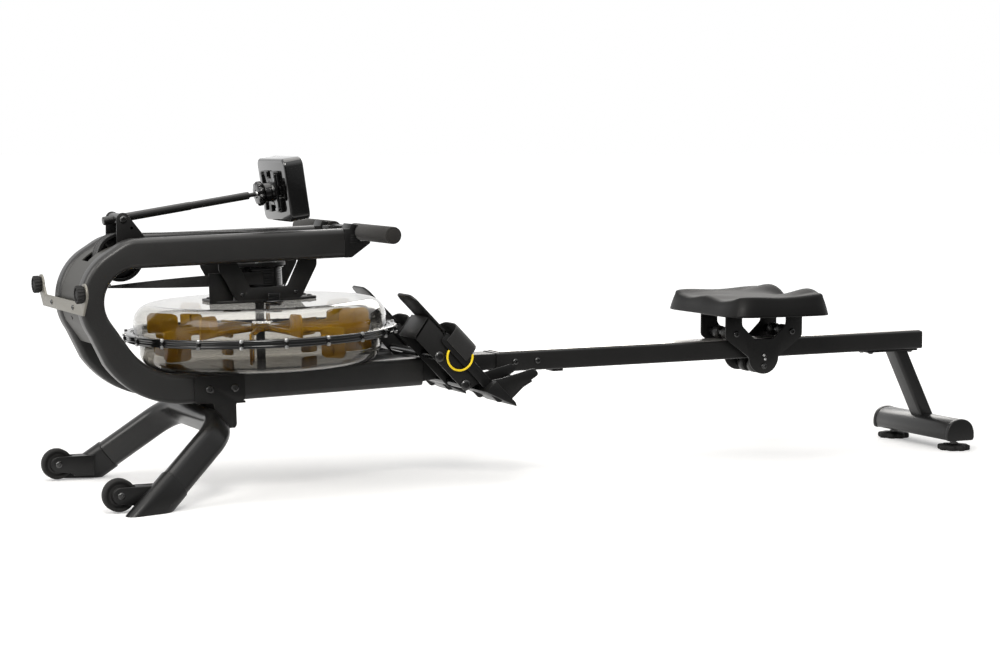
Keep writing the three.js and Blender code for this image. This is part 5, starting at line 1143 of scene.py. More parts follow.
paddle = {"count": 7, "start": 14.3, "reach": 228, "root": 40, "rise": 41, "fall": 54, "wide": 62, "arm": 14,
          "thick": 4, "middle": 312, "corner": 14, "shaft": 9, "collar": 13.5, "spin": 0.0001}


def bladeOutline(way):  # an arm with its blade above it, or below
    p = paddle
    armHalf, inner, r = p["arm"] / 2, p["reach"] - p["wide"], p["corner"]
    tip = p["rise"] if way > 0 else p["fall"]
    outline = [(p["root"] - 8, -armHalf)] + arc((p["reach"] - 3, -armHalf + 3), 3, 270, 360, 3)
    outline += arc((p["reach"] - r, tip - r), r, 0, 90, 7) + arc((inner + r, tip - r), r, 90, 180, 7)
    outline += arc((inner - 5, armHalf + 5), 5, 0, -90, 4) + [(p["root"] - 8, armHalf)]
    return outline if way > 0 else [(u, -v) for u, v in reversed(outline)]


def addImpeller():
    p = paddle
    armHalf, inner = p["arm"] / 2, p["reach"] - p["wide"]
    web = prism([(p["root"] - 6, -2.4), (inner + 4, -1.4), (inner + 4, 1.4), (p["root"] - 6, 2.4)], -7, 7,
                "Y")
    for name, way in (("amber_paddles", 1), ("amber_lower_paddles", -1)):
        tip = way * (p["rise"] if way > 0 else p["fall"])
        rib = prism(roundedRect(3, abs(tip) - 16, 1.4, 3, (p["reach"] - p["wide"] / 2, tip / 2)), -3.6, 3.6)
        blade = prism(bladeOutline(way), -p["thick"] / 2, p["thick"] / 2)
        start = math.radians(p["start"] + (0 if way > 0 else 180 / p["count"]))
        around = {"Count": p["count"], "Radius": p["spin"], "Start": start}
        repeated(name, [blade, rib, web], "amber", roundTree, around,
                 frontUnit @ Matrix.Translation((tankAt, 0, p["middle"])), "drive", edge=0.8)
    hubLow, hubHigh = p["middle"] - armHalf, p["middle"] + armHalf
    hub = turned([(0, hubLow), (p["root"] - 1, hubLow), (p["root"], hubLow + 1), (p["root"], hubHigh - 1),
                  (p["root"] - 1, hubHigh), (p["collar"] + 6, hubHigh), (p["collar"] + 5, hubHigh + 4),
                  (0, hubHigh + 4)], tankAxis, "Z", 64)
    addPiece("paddle_hub", [hub], "amber", "drive", ["impeller"], frontUnit)
    foot = tank["bottom"] + tank["wall"] + running
    shaft = [rod(p["shaft"], foot, drum["low"] - gap, tankAxis, "Z", 32),
             rod(p["collar"], hubHigh + gap, hubHigh + gap + p["shaft"], tankAxis, "Z", 32)]
    addPiece("drive_shaft", shaft, "plastic", "drive", place=frontUnit)


# Drive bracket, drum, spring case and fill plug

bracket = {"sheet": 4, "foot": 69, "top": 104, "cutFoot": 39.5, "cutTop": 65.5, "under": 373.4, "cutAt": 398,
           "knee": 437, "rise": 489, "half": 108, "nose": 46, "plate": 5, "corner": 5,
           "planCorner": 7, "boltIn": 12, "bolts": (5, 3), "sideBolts": (4.2, 2.4)}
guard = {"from": 71, "to": 120, "at": 44, "sheet": 4, "top": 430}


def addDriveBracket():
    b = bracket
    x, z = tankAt, b["under"]
    under = sideFrame["topUnder"]
    half = [(b["foot"], z), (b["top"], b["knee"]), (b["top"], b["rise"]), (b["cutTop"], b["rise"]),
            (b["cutTop"], under), (b["cutFoot"], b["cutAt"])]
    left = [(x - u, v) for u, v in reversed(half)]
    outline = left[-1:] + [(x + u, v) for u, v in half] + left[:-1]
    outer = frameInner - gap
    shape = softened(outline, b["corner"])
    solids = [prism(shape, *spanOf(way, outer - b["sheet"], outer)) for _, way in sides]
    plan = halfTurned([(-b["half"], -b["nose"]), (-b["foot"], -outer), (b["foot"], -outer),
                       (b["half"], -b["nose"])], x)
    solids.append(prism(softened(plan, b["planCorner"]), z - b["plate"], z + gap, "Z"))
    g = guard
    solids.append(block((x - g["to"], -g["at"] - g["sheet"] / 2, z - b["plate"]),
                        (x - g["from"], -g["at"] + g["sheet"] / 2, g["top"])))
    addPiece("drive_frame", solids, "blackCoat", "frame", ["drive_bracket"], frontUnit, edge=0.8)
    heads = []
    for end in (-1, 1):
        for way in (-1, 0, 1):
            place = (x + end * (b["half"] - b["boltIn"]), way * (b["nose"] - b["boltIn"]), z + gap)
            heads.append(boltAt(place, *b["bolts"], 1, axis="Z"))
    for _, way in sides:
        for end in (-1, 1):
            place = (x + end * (b["foot"] - b["boltIn"]), way * outer, z + b["boltIn"])
            heads.append(boltAt(place, *b["sideBolts"], way))
    addPiece("bearing_bolts", heads, "boltBlack", "frame", place=frontUnit)


springCase = {"radius": 55, "height": 9, "bar": 26, "screws": 8, "screwAt": 47, "screw": (3.6, 2.6)}


def addDrum():
    d = drum
    bore = paddle["shaft"] / 2
    low, high, r, rim = d["low"], d["top"], d["radius"], d["radius"] + d["rim"]
    inLow, inHigh, e = low + d["rimThick"], high - d["rimThick"], d["edge"]
    profile = disc(rim, low, inLow, e, bore)[:-1] + [(r, inLow + e / 2), (r, inHigh - e / 2)]
    profile += disc(rim, inHigh, high, e, bore)[1:]
    addPiece("webbing_drum", [turned(profile, tankAxis, "Z", 96, closed=True)], "gloss", "drive",
             ["strap_drum"], frontUnit)
    coils = []
    for k in range(d["coils"]):
        z = inLow + 3 + k * d["coilStep"]
        coils.append(turned([(r - 1, z - 2), (r + 0.5, z - 1.4), (r + 0.8, z), (r + 0.5, z + 1.4),
                (r - 1, z + 2)], tankAxis, "Z", 96, closed=True))
    addPiece("drum_ridges", coils, "gloss", "drive", place=frontUnit)
    s = springCase
    low = d["top"] + running
    high = low + s["height"]
    reach = frameInner - gap - bracket["sheet"] - gap
    r = s["radius"]
    case = turned([(0, low), (r - 1, low), (r, low + 1), (r, high - 2), (r - 2, high), (r - 12, high),
                   (r - 13, high - 1.5), (0, high - 1.5)], tankAxis, "Z", 96)
    bar = block((tankAt - s["bar"] / 2, -reach, low + 0.5), (tankAt + s["bar"] / 2, reach, high - 0.6))
    pin = rod(bore - gap, d["low"] + 4, low + 4, tankAxis, "Z", 24)
    addPiece("rewind_case", [case, bar, pin], "blackCoat", "frame", ["spring_case"], frontUnit, edge=0.6)
    screw = [boltAt((0, 0, high - 0.2), *s["screw"], 1, 16, "Z"),
             prism(roundedRect(11, 7, 2, 3, (2, 0)), high - 1.2, high + 0.2, "Z")]
    around = {"Count": s["screws"], "Radius": s["screwAt"], "Start": math.pi / s["screws"]}
    repeated("case_screws", screw, "zinc", roundTree, around, tankUnit, "frame")


plugSize = {"head": 21, "height": 6, "gripTall": 13, "gripLong": 26, "gripWide": 7}


def addPlug():
    p = plugSize
    y, top = tank["waterAt"], tank["top"]
    seat = top + gap
    profile = [(0, top - 8), (tank["water"] - 1.6, top - 8), (tank["water"] - 1, top - 7),
               (tank["water"] - 1, seat), (p["head"] - 1.5, seat), (p["head"], seat + 1.5),
               (p["head"], seat + p["height"] - 2), (p["head"] - 2, seat + p["height"]),
               (0, seat + p["height"] + 0.4)]
    cap = turned(profile, (tankAt, y, 0), "Z", 96, flutes=24, depth=0.03)
    grip = roundedRect(p["gripLong"], p["gripWide"], p["gripWide"] / 2 - 0.1, 6, (tankAt, y))
    foot = bracket["under"] - bracket["plate"]
    bar = prism(grip, foot + 2, foot + p["height"] + p["gripTall"], "Z")
    addPiece("tank_plug", [cap, bar], "gloss", "plug", ["fill_plug"], frontUnit, edge=1.0, segments=3)


# Monitor bracket, arm, ball, knob, mount and housing

arm = {"pivot": (84.9, 545.3), "span": 40, "sheet": 4, "corner": 13, "front": 70, "rear": 128, "foot": 497,
       "bolt": 5, "tie": 3.5, "rise": 7.3, "radius": 8.5, "tip": 7.8, "sleeve": 11, "back": 30,
       "length": 276, "step": 0.55, "neck": 4.5, "reach": 299, "ball": 9, "cornerTurn": 39.6,
       "bolts": (7.5, 4.6), "tieDrop": 1.2}
knob = {"radius": 25, "length": 13, "flutes": 10, "depth": 0.12}
head = {"tilt": 7, "deep": 19, "socket": 19.5, "width": 92, "height": 84, "sheet": 6}
screen = {"width": 162, "height": 128, "thick": 42, "lift": 2, "corner": 16, "edge": 5, "inset": 14,
          "recess": 1.2, "keys": 4, "keyStep": 27, "keyDown": 38}


def addMonitorBracket():
    a = arm
    px, pz = a["pivot"]
    outline = [(a["front"], a["foot"]), (a["rear"], a["foot"]), (a["rear"], frameTopFace)]
    outline += arc((px, pz), a["corner"], a["cornerTurn"], 180, 14)
    solids = []
    reach = frameInner - gap
    for _, way in sides:
        solids.append(prism(outline, *spanOf(way, a["span"] - a["sheet"], a["span"])))
        low, high = spanOf(way, a["span"] - a["sheet"], reach)
        solids.append(block((a["front"], low, a["foot"]), (a["rear"], high, a["foot"] + a["sheet"])))
    addPiece("arm_bracket", solids, "blackCoat", "frame", ["monitor_bracket"], frontUnit, edge=0.8)
    tie = (px + a["corner"] + a["tie"], 0, pz - a["corner"] - a["tie"] - a["tieDrop"])
    parts = [rod(a["tie"], -a["span"], a["span"], tie, "Y", 24), rod(a["bolt"], -a["span"], a["span"],
            (px, 0, pz), "Y", 24)]
    for _, way in sides:
        parts.append(boltAt((px, way * a["span"], pz), *a["bolts"], way))
    addPiece("arm_pivot_bolt", parts, "boltBlack", "frame", place=frontUnit)


alongArm = frontUnit @ Matrix.Translation((arm["pivot"][0], 0, arm["pivot"][1])) @ turnBack(arm["rise"])
ballCentre = frontUnit.inverted() @ (alongArm @ Vector((arm["reach"], 0, 0)))
inHead = frontUnit @ Matrix.Translation(ballCentre) @ turnBack(head["tilt"])
headBack = knob["length"] / 2 + gap + head["deep"]


def addArm():
    a = arm
    step = a["length"] * a["step"]
    r, tip = a["radius"], a["tip"]
    profile = [(0, -a["back"]), (r - 1.5, -a["back"]), (r, -a["back"] + 1.5), (r, step - 1), (r - 0.4, step),
               (tip, step + 0.6), (tip, a["length"] - 1), (tip - 1, a["length"]), (a["neck"], a["length"]),
               (a["neck"], a["reach"] - a["ball"] - gap), (0, a["reach"] - a["ball"] - gap)]
    tube = turned(profile, (0, 0, 0), "X", 48)
    reach = a["span"] - a["sheet"] - gap
    sleeve = rod(a["sleeve"], -reach, reach, (0, 0, 0), "Y", 48)
    addPiece("arm_tube", [tube, sleeve], "tubeCoat", "arm", ["monitor_arm"], alongArm)
    ball = [(a["ball"] * math.cos(math.radians(t)), a["ball"] * math.sin(math.radians(t)))
            for t in range(-90, 91, 6)]
    addPiece("arm_ball", [turned(ball, (a["reach"], 0, 0), "X", 48)], "zinc", "ball", ["pivot_ball"],
             alongArm)
    k = knob
    low, high, bore = a["reach"] - k["length"] / 2, a["reach"] + k["length"] / 2, a["ball"] + gap
    profile = [(bore, low), (k["radius"] - 6, low, 0.3), (k["radius"] - 1.5, low + 1.2),
               (k["radius"], low + 3.2), (k["radius"], high - 2.4), (k["radius"] - 1.6, high - 0.6),
               (k["radius"] - 4, high, 0.6), (bore, high)]
    solid = turned(profile, (0, 0, 0), "X", 180, closed=True, flutes=k["flutes"], depth=k["depth"],
                   roundness=1.6)
    addPiece("clamp_knob", [solid], "gloss", "knob", ["lock_knob"], alongArm, angle=50)


def addMount():
    start = (knob["length"] + 3 * gap) / 2
    bore = arm["ball"] + gap
    cup = turned([(bore, start), (head["socket"] - 2, start), (head["socket"], start + 2), (head["socket"],
            headBack - 3), (head["socket"] + 3, headBack), (0, headBack), (0, headBack - 4),
                  (bore, headBack - 4)], (0, 0, 0), "X", 64, closed=True)
    w, h = head["width"] / 2, head["height"] / 2
    waist, notch, slot = w / 2, h / 2, h / 2 + head["sheet"]
    outline = halfTurned([(w, -h), (w, -notch / 2), (waist, -notch / 2), (waist, notch / 2), (w, notch / 2),
            (w, h), (waist / 2, h), (waist / 2, slot), (-waist / 2, slot), (-waist / 2, h)])
    sheet = prism(softened(outline, 3.5), headBack - gap, headBack + head["sheet"], "X")
    ribs = [prism(roundedRect(9, 2 * h - 4, 2, 3, (way * (w - 9), 1)), headBack - 4, headBack + 1, "X")
            for _, way in sides]
    hooks = []
    for _, way in sides:
        for end in (-1, 1):
            hooks.append(rod(5, headBack - 4.5, headBack + 1, (0, way * (w - 9), end * (h - 8)), "X", 24))
    addPiece("head_mount", [cup, sheet, *ribs, *hooks], "gloss", "head", ["monitor_mount"], inHead, edge=0.8)


def addMonitorCase():
    s = screen
    back = headBack + head["sheet"] + gap
    front = back + s["thick"]
    raised = inHead @ Matrix.Translation((0, 0, s["lift"]))
    rings = []
    steps = 5
    for k in range(steps + 1):  # rounded back edge
        t = math.radians(90 * k / steps)
        inset, deep = s["edge"] * (1 - math.sin(t)), s["edge"] * (1 - math.cos(t))
        rings.append((back + deep, inset))
    for k in range(steps + 1):  # rounded front edge
        t = math.radians(90 * k / steps)
        inset, deep = s["edge"] * (1 - math.cos(t)), s["edge"] * (1 - math.sin(t))
        rings.append((front - deep, inset))
    inner = 2 * s["inset"]
    outlines = [[(x, u, v) for u, v in roundedRect(s["width"] - 2 * i, s["height"] - 2 * i, s["corner"] - i,
            8)] for x, i in rings]
    rim = roundedRect(s["width"] - inner, s["height"] - inner, s["edge"], 8)
    outlines.append([(front, u, v) for u, v in rim])
    outlines.append([(front - s["recess"], u, v) for u, v in rim])
    addPiece("monitor_case", [loft(outlines)], "caseGloss", "head", ["monitor_housing"], raised, angle=55)
    glass = roundedRect(s["width"] - inner - 1, s["height"] - inner - 26, s["edge"] - 1, 6, (0, 12))
    panel = [prism(glass, front - s["recess"] - 0.2, front - 0.2, "X")]
    addPiece("display_glass", panel, "gloss", "head", place=raised, edge=0.3)
    key = [prism(roundedRect(18, 8, 3, 5), 0, s["recess"] - 0.1, "X")]
    first = (front - s["recess"], -s["keyStep"] * (s["keys"] - 1) / 2, -s["keyDown"])
    repeated("monitor_keys", key, "softPlastic", lineTree, {"Count": s["keys"], "Step": (0, s["keyStep"], 0)},
             raised @ Matrix.Translation(first), "head", edge=0.3)


print("front unit described")

# Front legs, caps, wheels and their clamp

leg = {"slope": 39.3, "splay": 23, "top": (229, 147), "flat": 60, "thick": 34.5, "corner": 15.5, "bend": 80,
       "footSpan": 261.5, "wall": 2.2, "cap": 85, "capEdge": 1.4}
slope = math.radians(leg["slope"])
legDown = Vector((-math.cos(slope), 0, -math.sin(slope)))
legFace = Vector((-math.sin(slope), 0, math.cos(slope)))
legRun = leg["top"][1] / math.sin(slope)
legTopSpan = leg["footSpan"] - legRun * math.tan(math.radians(leg["splay"]))
wheel = {"at": (0, 34.4), "span": 228.7, "radius": 31.8, "width": 22, "bore": 5, "hub": 15}
fork = {"sheet": 6, "radius": 16, "reach": 74, "low": 8, "head": 7, "headHeight": 3,
        "shy": 0.7}
cutReach = (400, 500)


def legRings(path, wall, corner=8):
    rings = []
    for i, spot in enumerate(path):
        heading = headingAt(path, i)
        side = Vector((0, -heading.y, 0)) + legDown * heading.x
        middle = Vector((leg["top"][0], spot.x, leg["top"][1])) + legDown * spot.y
        section = roundedRect(leg["flat"] + 2 * wall, leg["thick"] + 2 * wall, leg["corner"] + wall, corner)
        rings.append([middle + legFace * u + side * v for u, v in section])
    return rings


def belowHeight(height):  # what is cut off a leg under a height
    x, y = cutReach
    return block((-x, -y, -x), (x, y, height))


def addLegTube():
    corners = [(-leg["footSpan"], legRun), (-legTopSpan, 0), (legTopSpan, 0), (leg["footSpan"], legRun)]
    path = bentPath(corners, [0, leg["bend"], leg["bend"], 0])
    height = (leg["cap"] - leg["flat"] * math.cos(slope)) * math.sin(slope) / 2
    addPiece("leg_tube", [loft(legRings(path, 0))], "tubeCoat", "frame", ["front_leg_tube"], angle=50,
             cutters=[belowHeight(height)])


def addLegShoe(side, way):
    foot = Vector((way * leg["footSpan"], legRun))
    heading = Vector((way * (leg["footSpan"] - legTopSpan), legRun)).normalized()
    ahead = legDown * heading.y + Vector((0, heading.x, 0))
    edge = leg["capEdge"]
    rings = []
    for along, inset in ((-leg["cap"], -edge), (-leg["cap"] + edge, 0), (leg["flat"], 0)):
        spot = foot + heading * along
        ring = legRings([spot - heading, spot + heading], leg["wall"] + inset)[0]
        rings.append([point + ahead for point in ring])
    wx, wz = wheel["at"]
    half = wheel["width"] / 2 + running
    room = rod(wheel["radius"] + running, way * wheel["span"] - half, way * wheel["span"] + half,
               (wx, 0, wz), "Y", 64)
    addPiece(f"{side}_leg_shoe", [loft(rings)], "plastic", "frame", [f"{side}_leg_cap"],
             cutters=[belowHeight(0), room], edge=1.2, angle=45)


def addFork(side, way):
    wx, wz = wheel["at"]
    span = way * wheel["span"]
    half = wheel["width"] / 2 + running
    reach = half + fork["sheet"]
    outline = [(wx + fork["reach"], fork["low"]), (wx + fork["reach"], wz + fork["radius"])]
    outline += arc((wx, wz), fork["radius"], 90, 270, 16)
    arms = []
    for edge in (-1, 1):
        low, high = spanOf(edge, half, reach)
        arms.append(prism(outline, span + low, span + high))
    shy = fork["shy"]  # keeps the bridge's corners off the arms'
    arms.append(block((wx + wheel["radius"] + 1.4, span - reach + shy, fork["low"] + shy),
                      (wx + fork["reach"] - shy, span + reach - shy, wz + fork["radius"] - shy)))
    addPiece(f"{side}_wheel_fork", arms, "plastic", "frame", edge=1.6, segments=3)
    pins = [rod(wheel["bore"] - gap, span - reach, span + reach, (wx, 0, wz), "Y", 24)]
    for edge in (-1, 1):
        pins.append(boltAt((wx, span + edge * reach, wz), fork["head"], fork["headHeight"], edge))
    addPiece(f"{side}_axle_bolt", pins, "boltBlack", "frame")


def addWheel(side, way):
    r, w, hub = wheel["radius"], wheel["width"] / 2, wheel["hub"]
    at = (wheel["at"][0], way * wheel["span"], wheel["at"][1])
    tread = bothWays([(r, w - 4), (r - 1, w - 1.4), (r - 3.4, w), (r - 6, w - 0.8), (r - 8, w - 3.5),
                      (hub + 6, w - 4)])
    addPiece(f"{side}_tyre", [turned(tread, at, "Y", 96, closed=True)], "rubber", f"{side}_wheel",
             [f"{side}_front_wheel"], angle=50)
    face = bothWays([(hub + 8, w - 5), (hub + 2, w - 4.5), (hub, w - 1), (hub - 1, w), (wheel["bore"], w)])
    addPiece(f"{side}_wheel_hub", [turned(face, at, "Y", 72, closed=True)], "softPlastic", f"{side}_wheel",
             angle=50)


clamp = {"at": 248.5, "half": 52, "sheet": 4, "rise": 232, "corner": 9, "gusset": 12.5, "rear": 32.5,
         "drop": 134, "bolt": 8.5, "boltHeight": 4, "shift": 5, "webFrom": 25, "barOver": 20}


def addLegClamp():
    c = clamp
    x, half = c["at"], c["half"]
    drop = c["drop"] - x * math.sin(lean)
    low = frameLowUnder - 2 * gap
    outline = [(x - half, low), (x - c["gusset"], low), (x - c["gusset"], drop), (x + c["rear"], drop),
               (x + c["rear"], low), (x + half, low), (x + half, c["rise"]), (x - half, c["rise"])]
    near = frameOuter + gap
    solids = []
    bolts = []
    for _, way in sides:
        solids.append(prism(softened(outline, c["corner"]), *spanOf(way, near, near + c["sheet"])))
        for end in (-1, 1):
            spot = (x + c["shift"] + end * half / 2, way * (near + c["sheet"]),
                    (frameLowUnder + c["rise"]) / 2)
            bolts.append(boltAt(spot, c["bolt"], c["boltHeight"], way))
    wide = near + c["sheet"]
    solids.append(block((x + c["webFrom"], -wide, low - c["sheet"]), (x + half, wide, low)))
    solids.append(block((x + c["webFrom"], -wide, drop), (x + c["webFrom"] + c["sheet"], wide, low)))
    reach = legTopSpan + c["barOver"]
    bar = loft([[frontUnit.inverted() @ (machine @ point) for point in ring]
                for ring in legRings([Vector((-reach, 0)), Vector((reach, 0))], gap)])
    addPiece("leg_clamp_plates", solids, "blackCoat", "frame", ["leg_clamp"], frontUnit, edge=0.8,
             cutters=[bar])
    addPiece("leg_clamp_bolts", bolts, "boltBlack", "frame", place=frontUnit)


# Rail, its strip and end cap, and the centre beam

rail = {"front": 882, "length": 1088, "half": 35.7, "top": 255, "height": 40.5, "corner": 4, "strip": 60,
        "stripThick": 1.5, "cap": 3, "bolts": (43.5, 96), "bolt": 7, "boltHeight": 4, "stop": 142,
        "stopLong": 24, "stopTall": 7}
railUnit = (Matrix.Translation((origin + rail["front"] * mm, 0, 0)) @ turnBack(railTilt) @ Matrix.Scale(mm,
        4))


def addRail():
    r = rail
    middle = r["top"] - r["height"] / 2
    end = r["length"] - r["cap"] - gap
    section = roundedRect(2 * r["half"], r["height"], r["corner"], 6, (0, middle))
    under = r["top"] - r["height"]
    stop = block((r["stop"], -r["half"] / 2, under - r["stopTall"]), (r["stop"] + r["stopLong"],
            r["half"] / 2, under + 1))
    rings = [[(x, u, v) for u, v in section] for x in [end * k / 8 for k in range(9)]]
    addPiece("rail_tube", [loft(rings), stop], "railCoat", "frame", ["rail"], railUnit, edge=0.5)
    bolts = []
    for at in r["bolts"]:
        for _, way in sides:
            bolts.append(boltAt((at, way * r["half"], middle), r["bolt"], r["boltHeight"], way, 32))
    addPiece("rail_bolts", bolts, "boltBlack", "frame", place=railUnit)
    low = r["top"] + gap
    clear = r["cap"] + 2 * gap
    strip = block((r["bolts"][0] / 4, -r["strip"] / 2, low), (r["length"] - clear, r["strip"] / 2,
            low + r["stripThick"]))
    addPiece("running_strip", [strip], "stainless", "frame", ["rail_strip"], railUnit, edge=0.3)
    face = prism(roundedRect(2 * r["half"] + gap, r["height"] + gap, 5, 6, (0, middle)),
                 r["length"] - r["cap"], r["length"], "X")
    inner = prism(roundedRect(2 * r["half"] - 7, r["height"] - 7, 2, 4, (0, middle)), r["length"] - 18,
                  r["length"] - 2, "X")
    addPiece("rail_plug", [face, inner], "plastic", "frame", ["rail_end_cap"], railUnit, edge=0.9)


beam = {"front": 560, "half": 33, "top": 253.5, "deep": 52, "shallow": 31, "taper": 780, "tongue": 70}


def addBeam():
    b = beam
    end = rail["front"] - rail["top"] * math.sin(math.radians(railTilt)) - gap
    low = b["top"] - b["deep"]
    outline = [(b["front"], low), (b["taper"] - b["tongue"], low), (end, b["top"] - b["shallow"]),
               (end, b["top"]), (b["front"], b["top"])]
    reach = frameInner - gap
    solids = [prism(outline, -b["half"], b["half"])]
    tongueTop = b["top"] - 4.2
    solids.append(block((end - 4, -32.4, tongueTop - b["shallow"] + 6), (end + b["tongue"], 32.4, tongueTop)))
    for k in range(2):
        at = b["front"] + 12 + k * (sideFrame["lowEnd"] - b["front"]) * 0.62
        solids.append(block((at, -reach, b["top"] - b["deep"] * 0.8), (at + b["half"] / 2, reach,
                b["top"] - b["deep"] * 0.3)))
    addPiece("beam_tube", solids, "blackCoat", "frame", ["centre_beam"], edge=2.5, segments=3)


# Rear leg

rear = {"tubeHalf": 23, "tubeLong": 37, "tubeTop": 1899, "tubeFoot": 1987, "plate": (1822, 1958), "sheet": 4,
        "plateHalf": 30, "bolt": 6, "boltHeight": 4, "inset": 14, "boltSpan": 18.6, "half": 138,
        "front": 1962, "back": 2034, "under": 24, "tall": 48, "cap": 12, "levellerAt": 2000,
        "levellerSpan": 119.6, "radius": 37, "thick": 12, "lobes": 8, "lobeDepth": 0.17}
crossbarShares = ((0.12, 0), (0.9, 0), (1, 0), (1, 0.22), (1, 0.8), (0.75, 1), (0.5, 1), (0.12, 1),
                  (0, 0.65), (0, 0.3), (0, 0))


def bezier(points, steps=8):
    spots = []
    for k in range(1, steps + 1):
        t = k / steps
        row = [Vector(point) for point in points]
        while len(row) > 1:
            row = [a.lerp(b, t) for a, b in zip(row, row[1:])]
        spots.append(tuple(row[0]))
    return spots


def crossbarOutline(grow):
    r = rear
    front, low = r["front"] - grow, r["under"] - grow
    long, tall = r["back"] + grow - front, r["tall"] + 2 * grow
    p = [(front + u * long, low + v * tall) for u, v in crossbarShares]
    return [p[0], p[1]] + bezier(p[1:4]) + bezier(p[3:7], 14) + bezier(p[6:10], 14) + bezier([p[9], p[10],
            p[0]])[:-1]


def railUnder(x):
    angle = math.radians(railTilt)
    return (rail["top"] - rail["height"]) / math.cos(angle) + (x - rail["front"]) * math.tan(angle) - 2 * gap


def addRearLeg():
    r = rear
    a, b = r["plate"]
    plate = [(a, railUnder(a) - r["sheet"]), (b, railUnder(b) - r["sheet"]), (b, railUnder(b)),
             (a, railUnder(a))]
    foot = r["under"] + r["tall"] / 2
    top, wide, h = r["tubeTop"], r["tubeLong"], r["tubeHalf"]
    rings = []
    for x, z, long in ((r["tubeFoot"], foot, wide), (top, railUnder(top) - r["sheet"] / 2, wide)):
        section = roundedRect(long, 2 * h, 7, 6, (long / 2, 0))
        rings.append([(x + u, v, z + (railUnder(x + u) - railUnder(x) if z > foot else 0)) for u,
                      v in section])
    addPiece("rear_leg_tube", [loft(rings)], "tubeCoat", "frame", ["rear_leg"], angle=50)
    addPiece("rear_leg_plate", [prism(plate, -r["plateHalf"], r["plateHalf"])], "blackCoat", "frame",
             edge=0.8)
    outline = crossbarOutline(0)
    addPiece("rear_crossbar", [prism(outline, -r["half"], r["half"])], "tubeCoat", "frame", edge=0.6,
             angle=30)
    bolts = []
    for x in (a + r["inset"], b - r["inset"]):
        for _, way in sides:
            place = (x, way * r["boltSpan"], railUnder(x) - r["sheet"])
            bolts.append(boltAt(place, r["bolt"], r["boltHeight"], -1, axis="Z"))
    addPiece("rear_leg_bolts", bolts, "boltBlack", "frame")
    for side, way in sides:
        low, high = spanOf(way, r["half"] + gap, r["half"] + r["cap"])
        addPiece(f"{side}_crossbar_cap", [prism(crossbarOutline(1), low, high)], "plastic", "frame",
                 [f"{side}_rear_cap"], edge=2.8, segments=4, angle=50)
        at = (r["levellerAt"], way * r["levellerSpan"], 0)
        pad, t = r["radius"], r["thick"]
        profile = [(0, 0), (pad - 3, 0, 0.8), (pad - 1, 1), (pad, 3), (pad, t - 3), (pad - 1.2, t - 1),
                   (pad - 4, t, 0.8), (14, t + 1, 0), (12, t + 1.5, 0), (0, t + 1.5, 0)]
        star = turned(profile, at, "Z", 192, flutes=r["lobes"], depth=r["lobeDepth"], roundness=1.6)
        addPiece(f"{side}_levelling_pad", [star], "rubber", f"{side}_leveller", [f"{side}_levelling_foot"],
                 angle=50)
        stud = rod(6, t / 2, r["under"] - gap, at, "Z", 24)
        nut = prism(arc((at[0], at[1]), 10, 0, 300, 5), t + 1, t + 5.5, "Z")
        addPiece(f"{side}_levelling_stud", [stud, nut], "boltBlack", f"{side}_leveller")


# Footplates, heel slides, bands and pull rings; places are across, up the sole and out of it

foot = {"span": 125, "slope": 45.5, "heel": (839, 171), "start": 66, "length": 306, "half": 43, "sheet": 4,
        "tip": 18, "tongue": 199, "lift": 2, "cheek": 51, "cheekFrom": 80, "cheekTo": 240, "boxTo": 249,
        "screw": 3.2}
rods = {"upper_foot_rod": (688.6, 266.2), "lower_foot_rod": (747.3, 206)}
rodSize = {"radius": 8, "head": 11, "height": 4}
slide = {"half": 49, "sheet": 4, "flange": 18, "start": 8, "length": 197, "heelHalf": 72, "tip": 15,
         "wedge": 56, "drop": 26, "wing": 53, "wingSheet": 3.5}
wingOutline = ((60, 0.3), (44, 22), (5, 88), (-12, 86), (-2, 43), (0, 0.3))
band = {"width": 62, "thick": 3, "rise": 34, "foot": -8, "share": 0.55, "roof": 0.7, "at": 158, "steps": 60,
        "rib": 0.55, "ribEnds": (0.08, 0.92)}
ring = {"radius": 28, "wire": 2.3, "at": (143, -11), "start": -16, "steps": 48}
footSlope = math.radians(foot["slope"])
soleUp = Vector((-math.cos(footSlope), math.sin(footSlope)))
soleOut = Vector((math.sin(footSlope), math.cos(footSlope)))


def soleFrame(way):  # x across, y up the sole, z out of it
    turn = Matrix(((0, soleUp.x, soleOut.x), (1, 0, 0), (0, soleUp.y, soleOut.y))).to_4x4()
    return machine @ Matrix.Translation((foot["heel"][0], way * foot["span"], foot["heel"][1])) @ turn


def slab(across, along, out):  # in the sole's own frame
    return block((across[0], along[0], out[0]), (across[1], along[1], out[1]))


def sideOutline(points, low, high):  # a cheek drawn in the sole's own frame
    return loft([[(x, along, out) for along, out in points] for x in (low, high)])


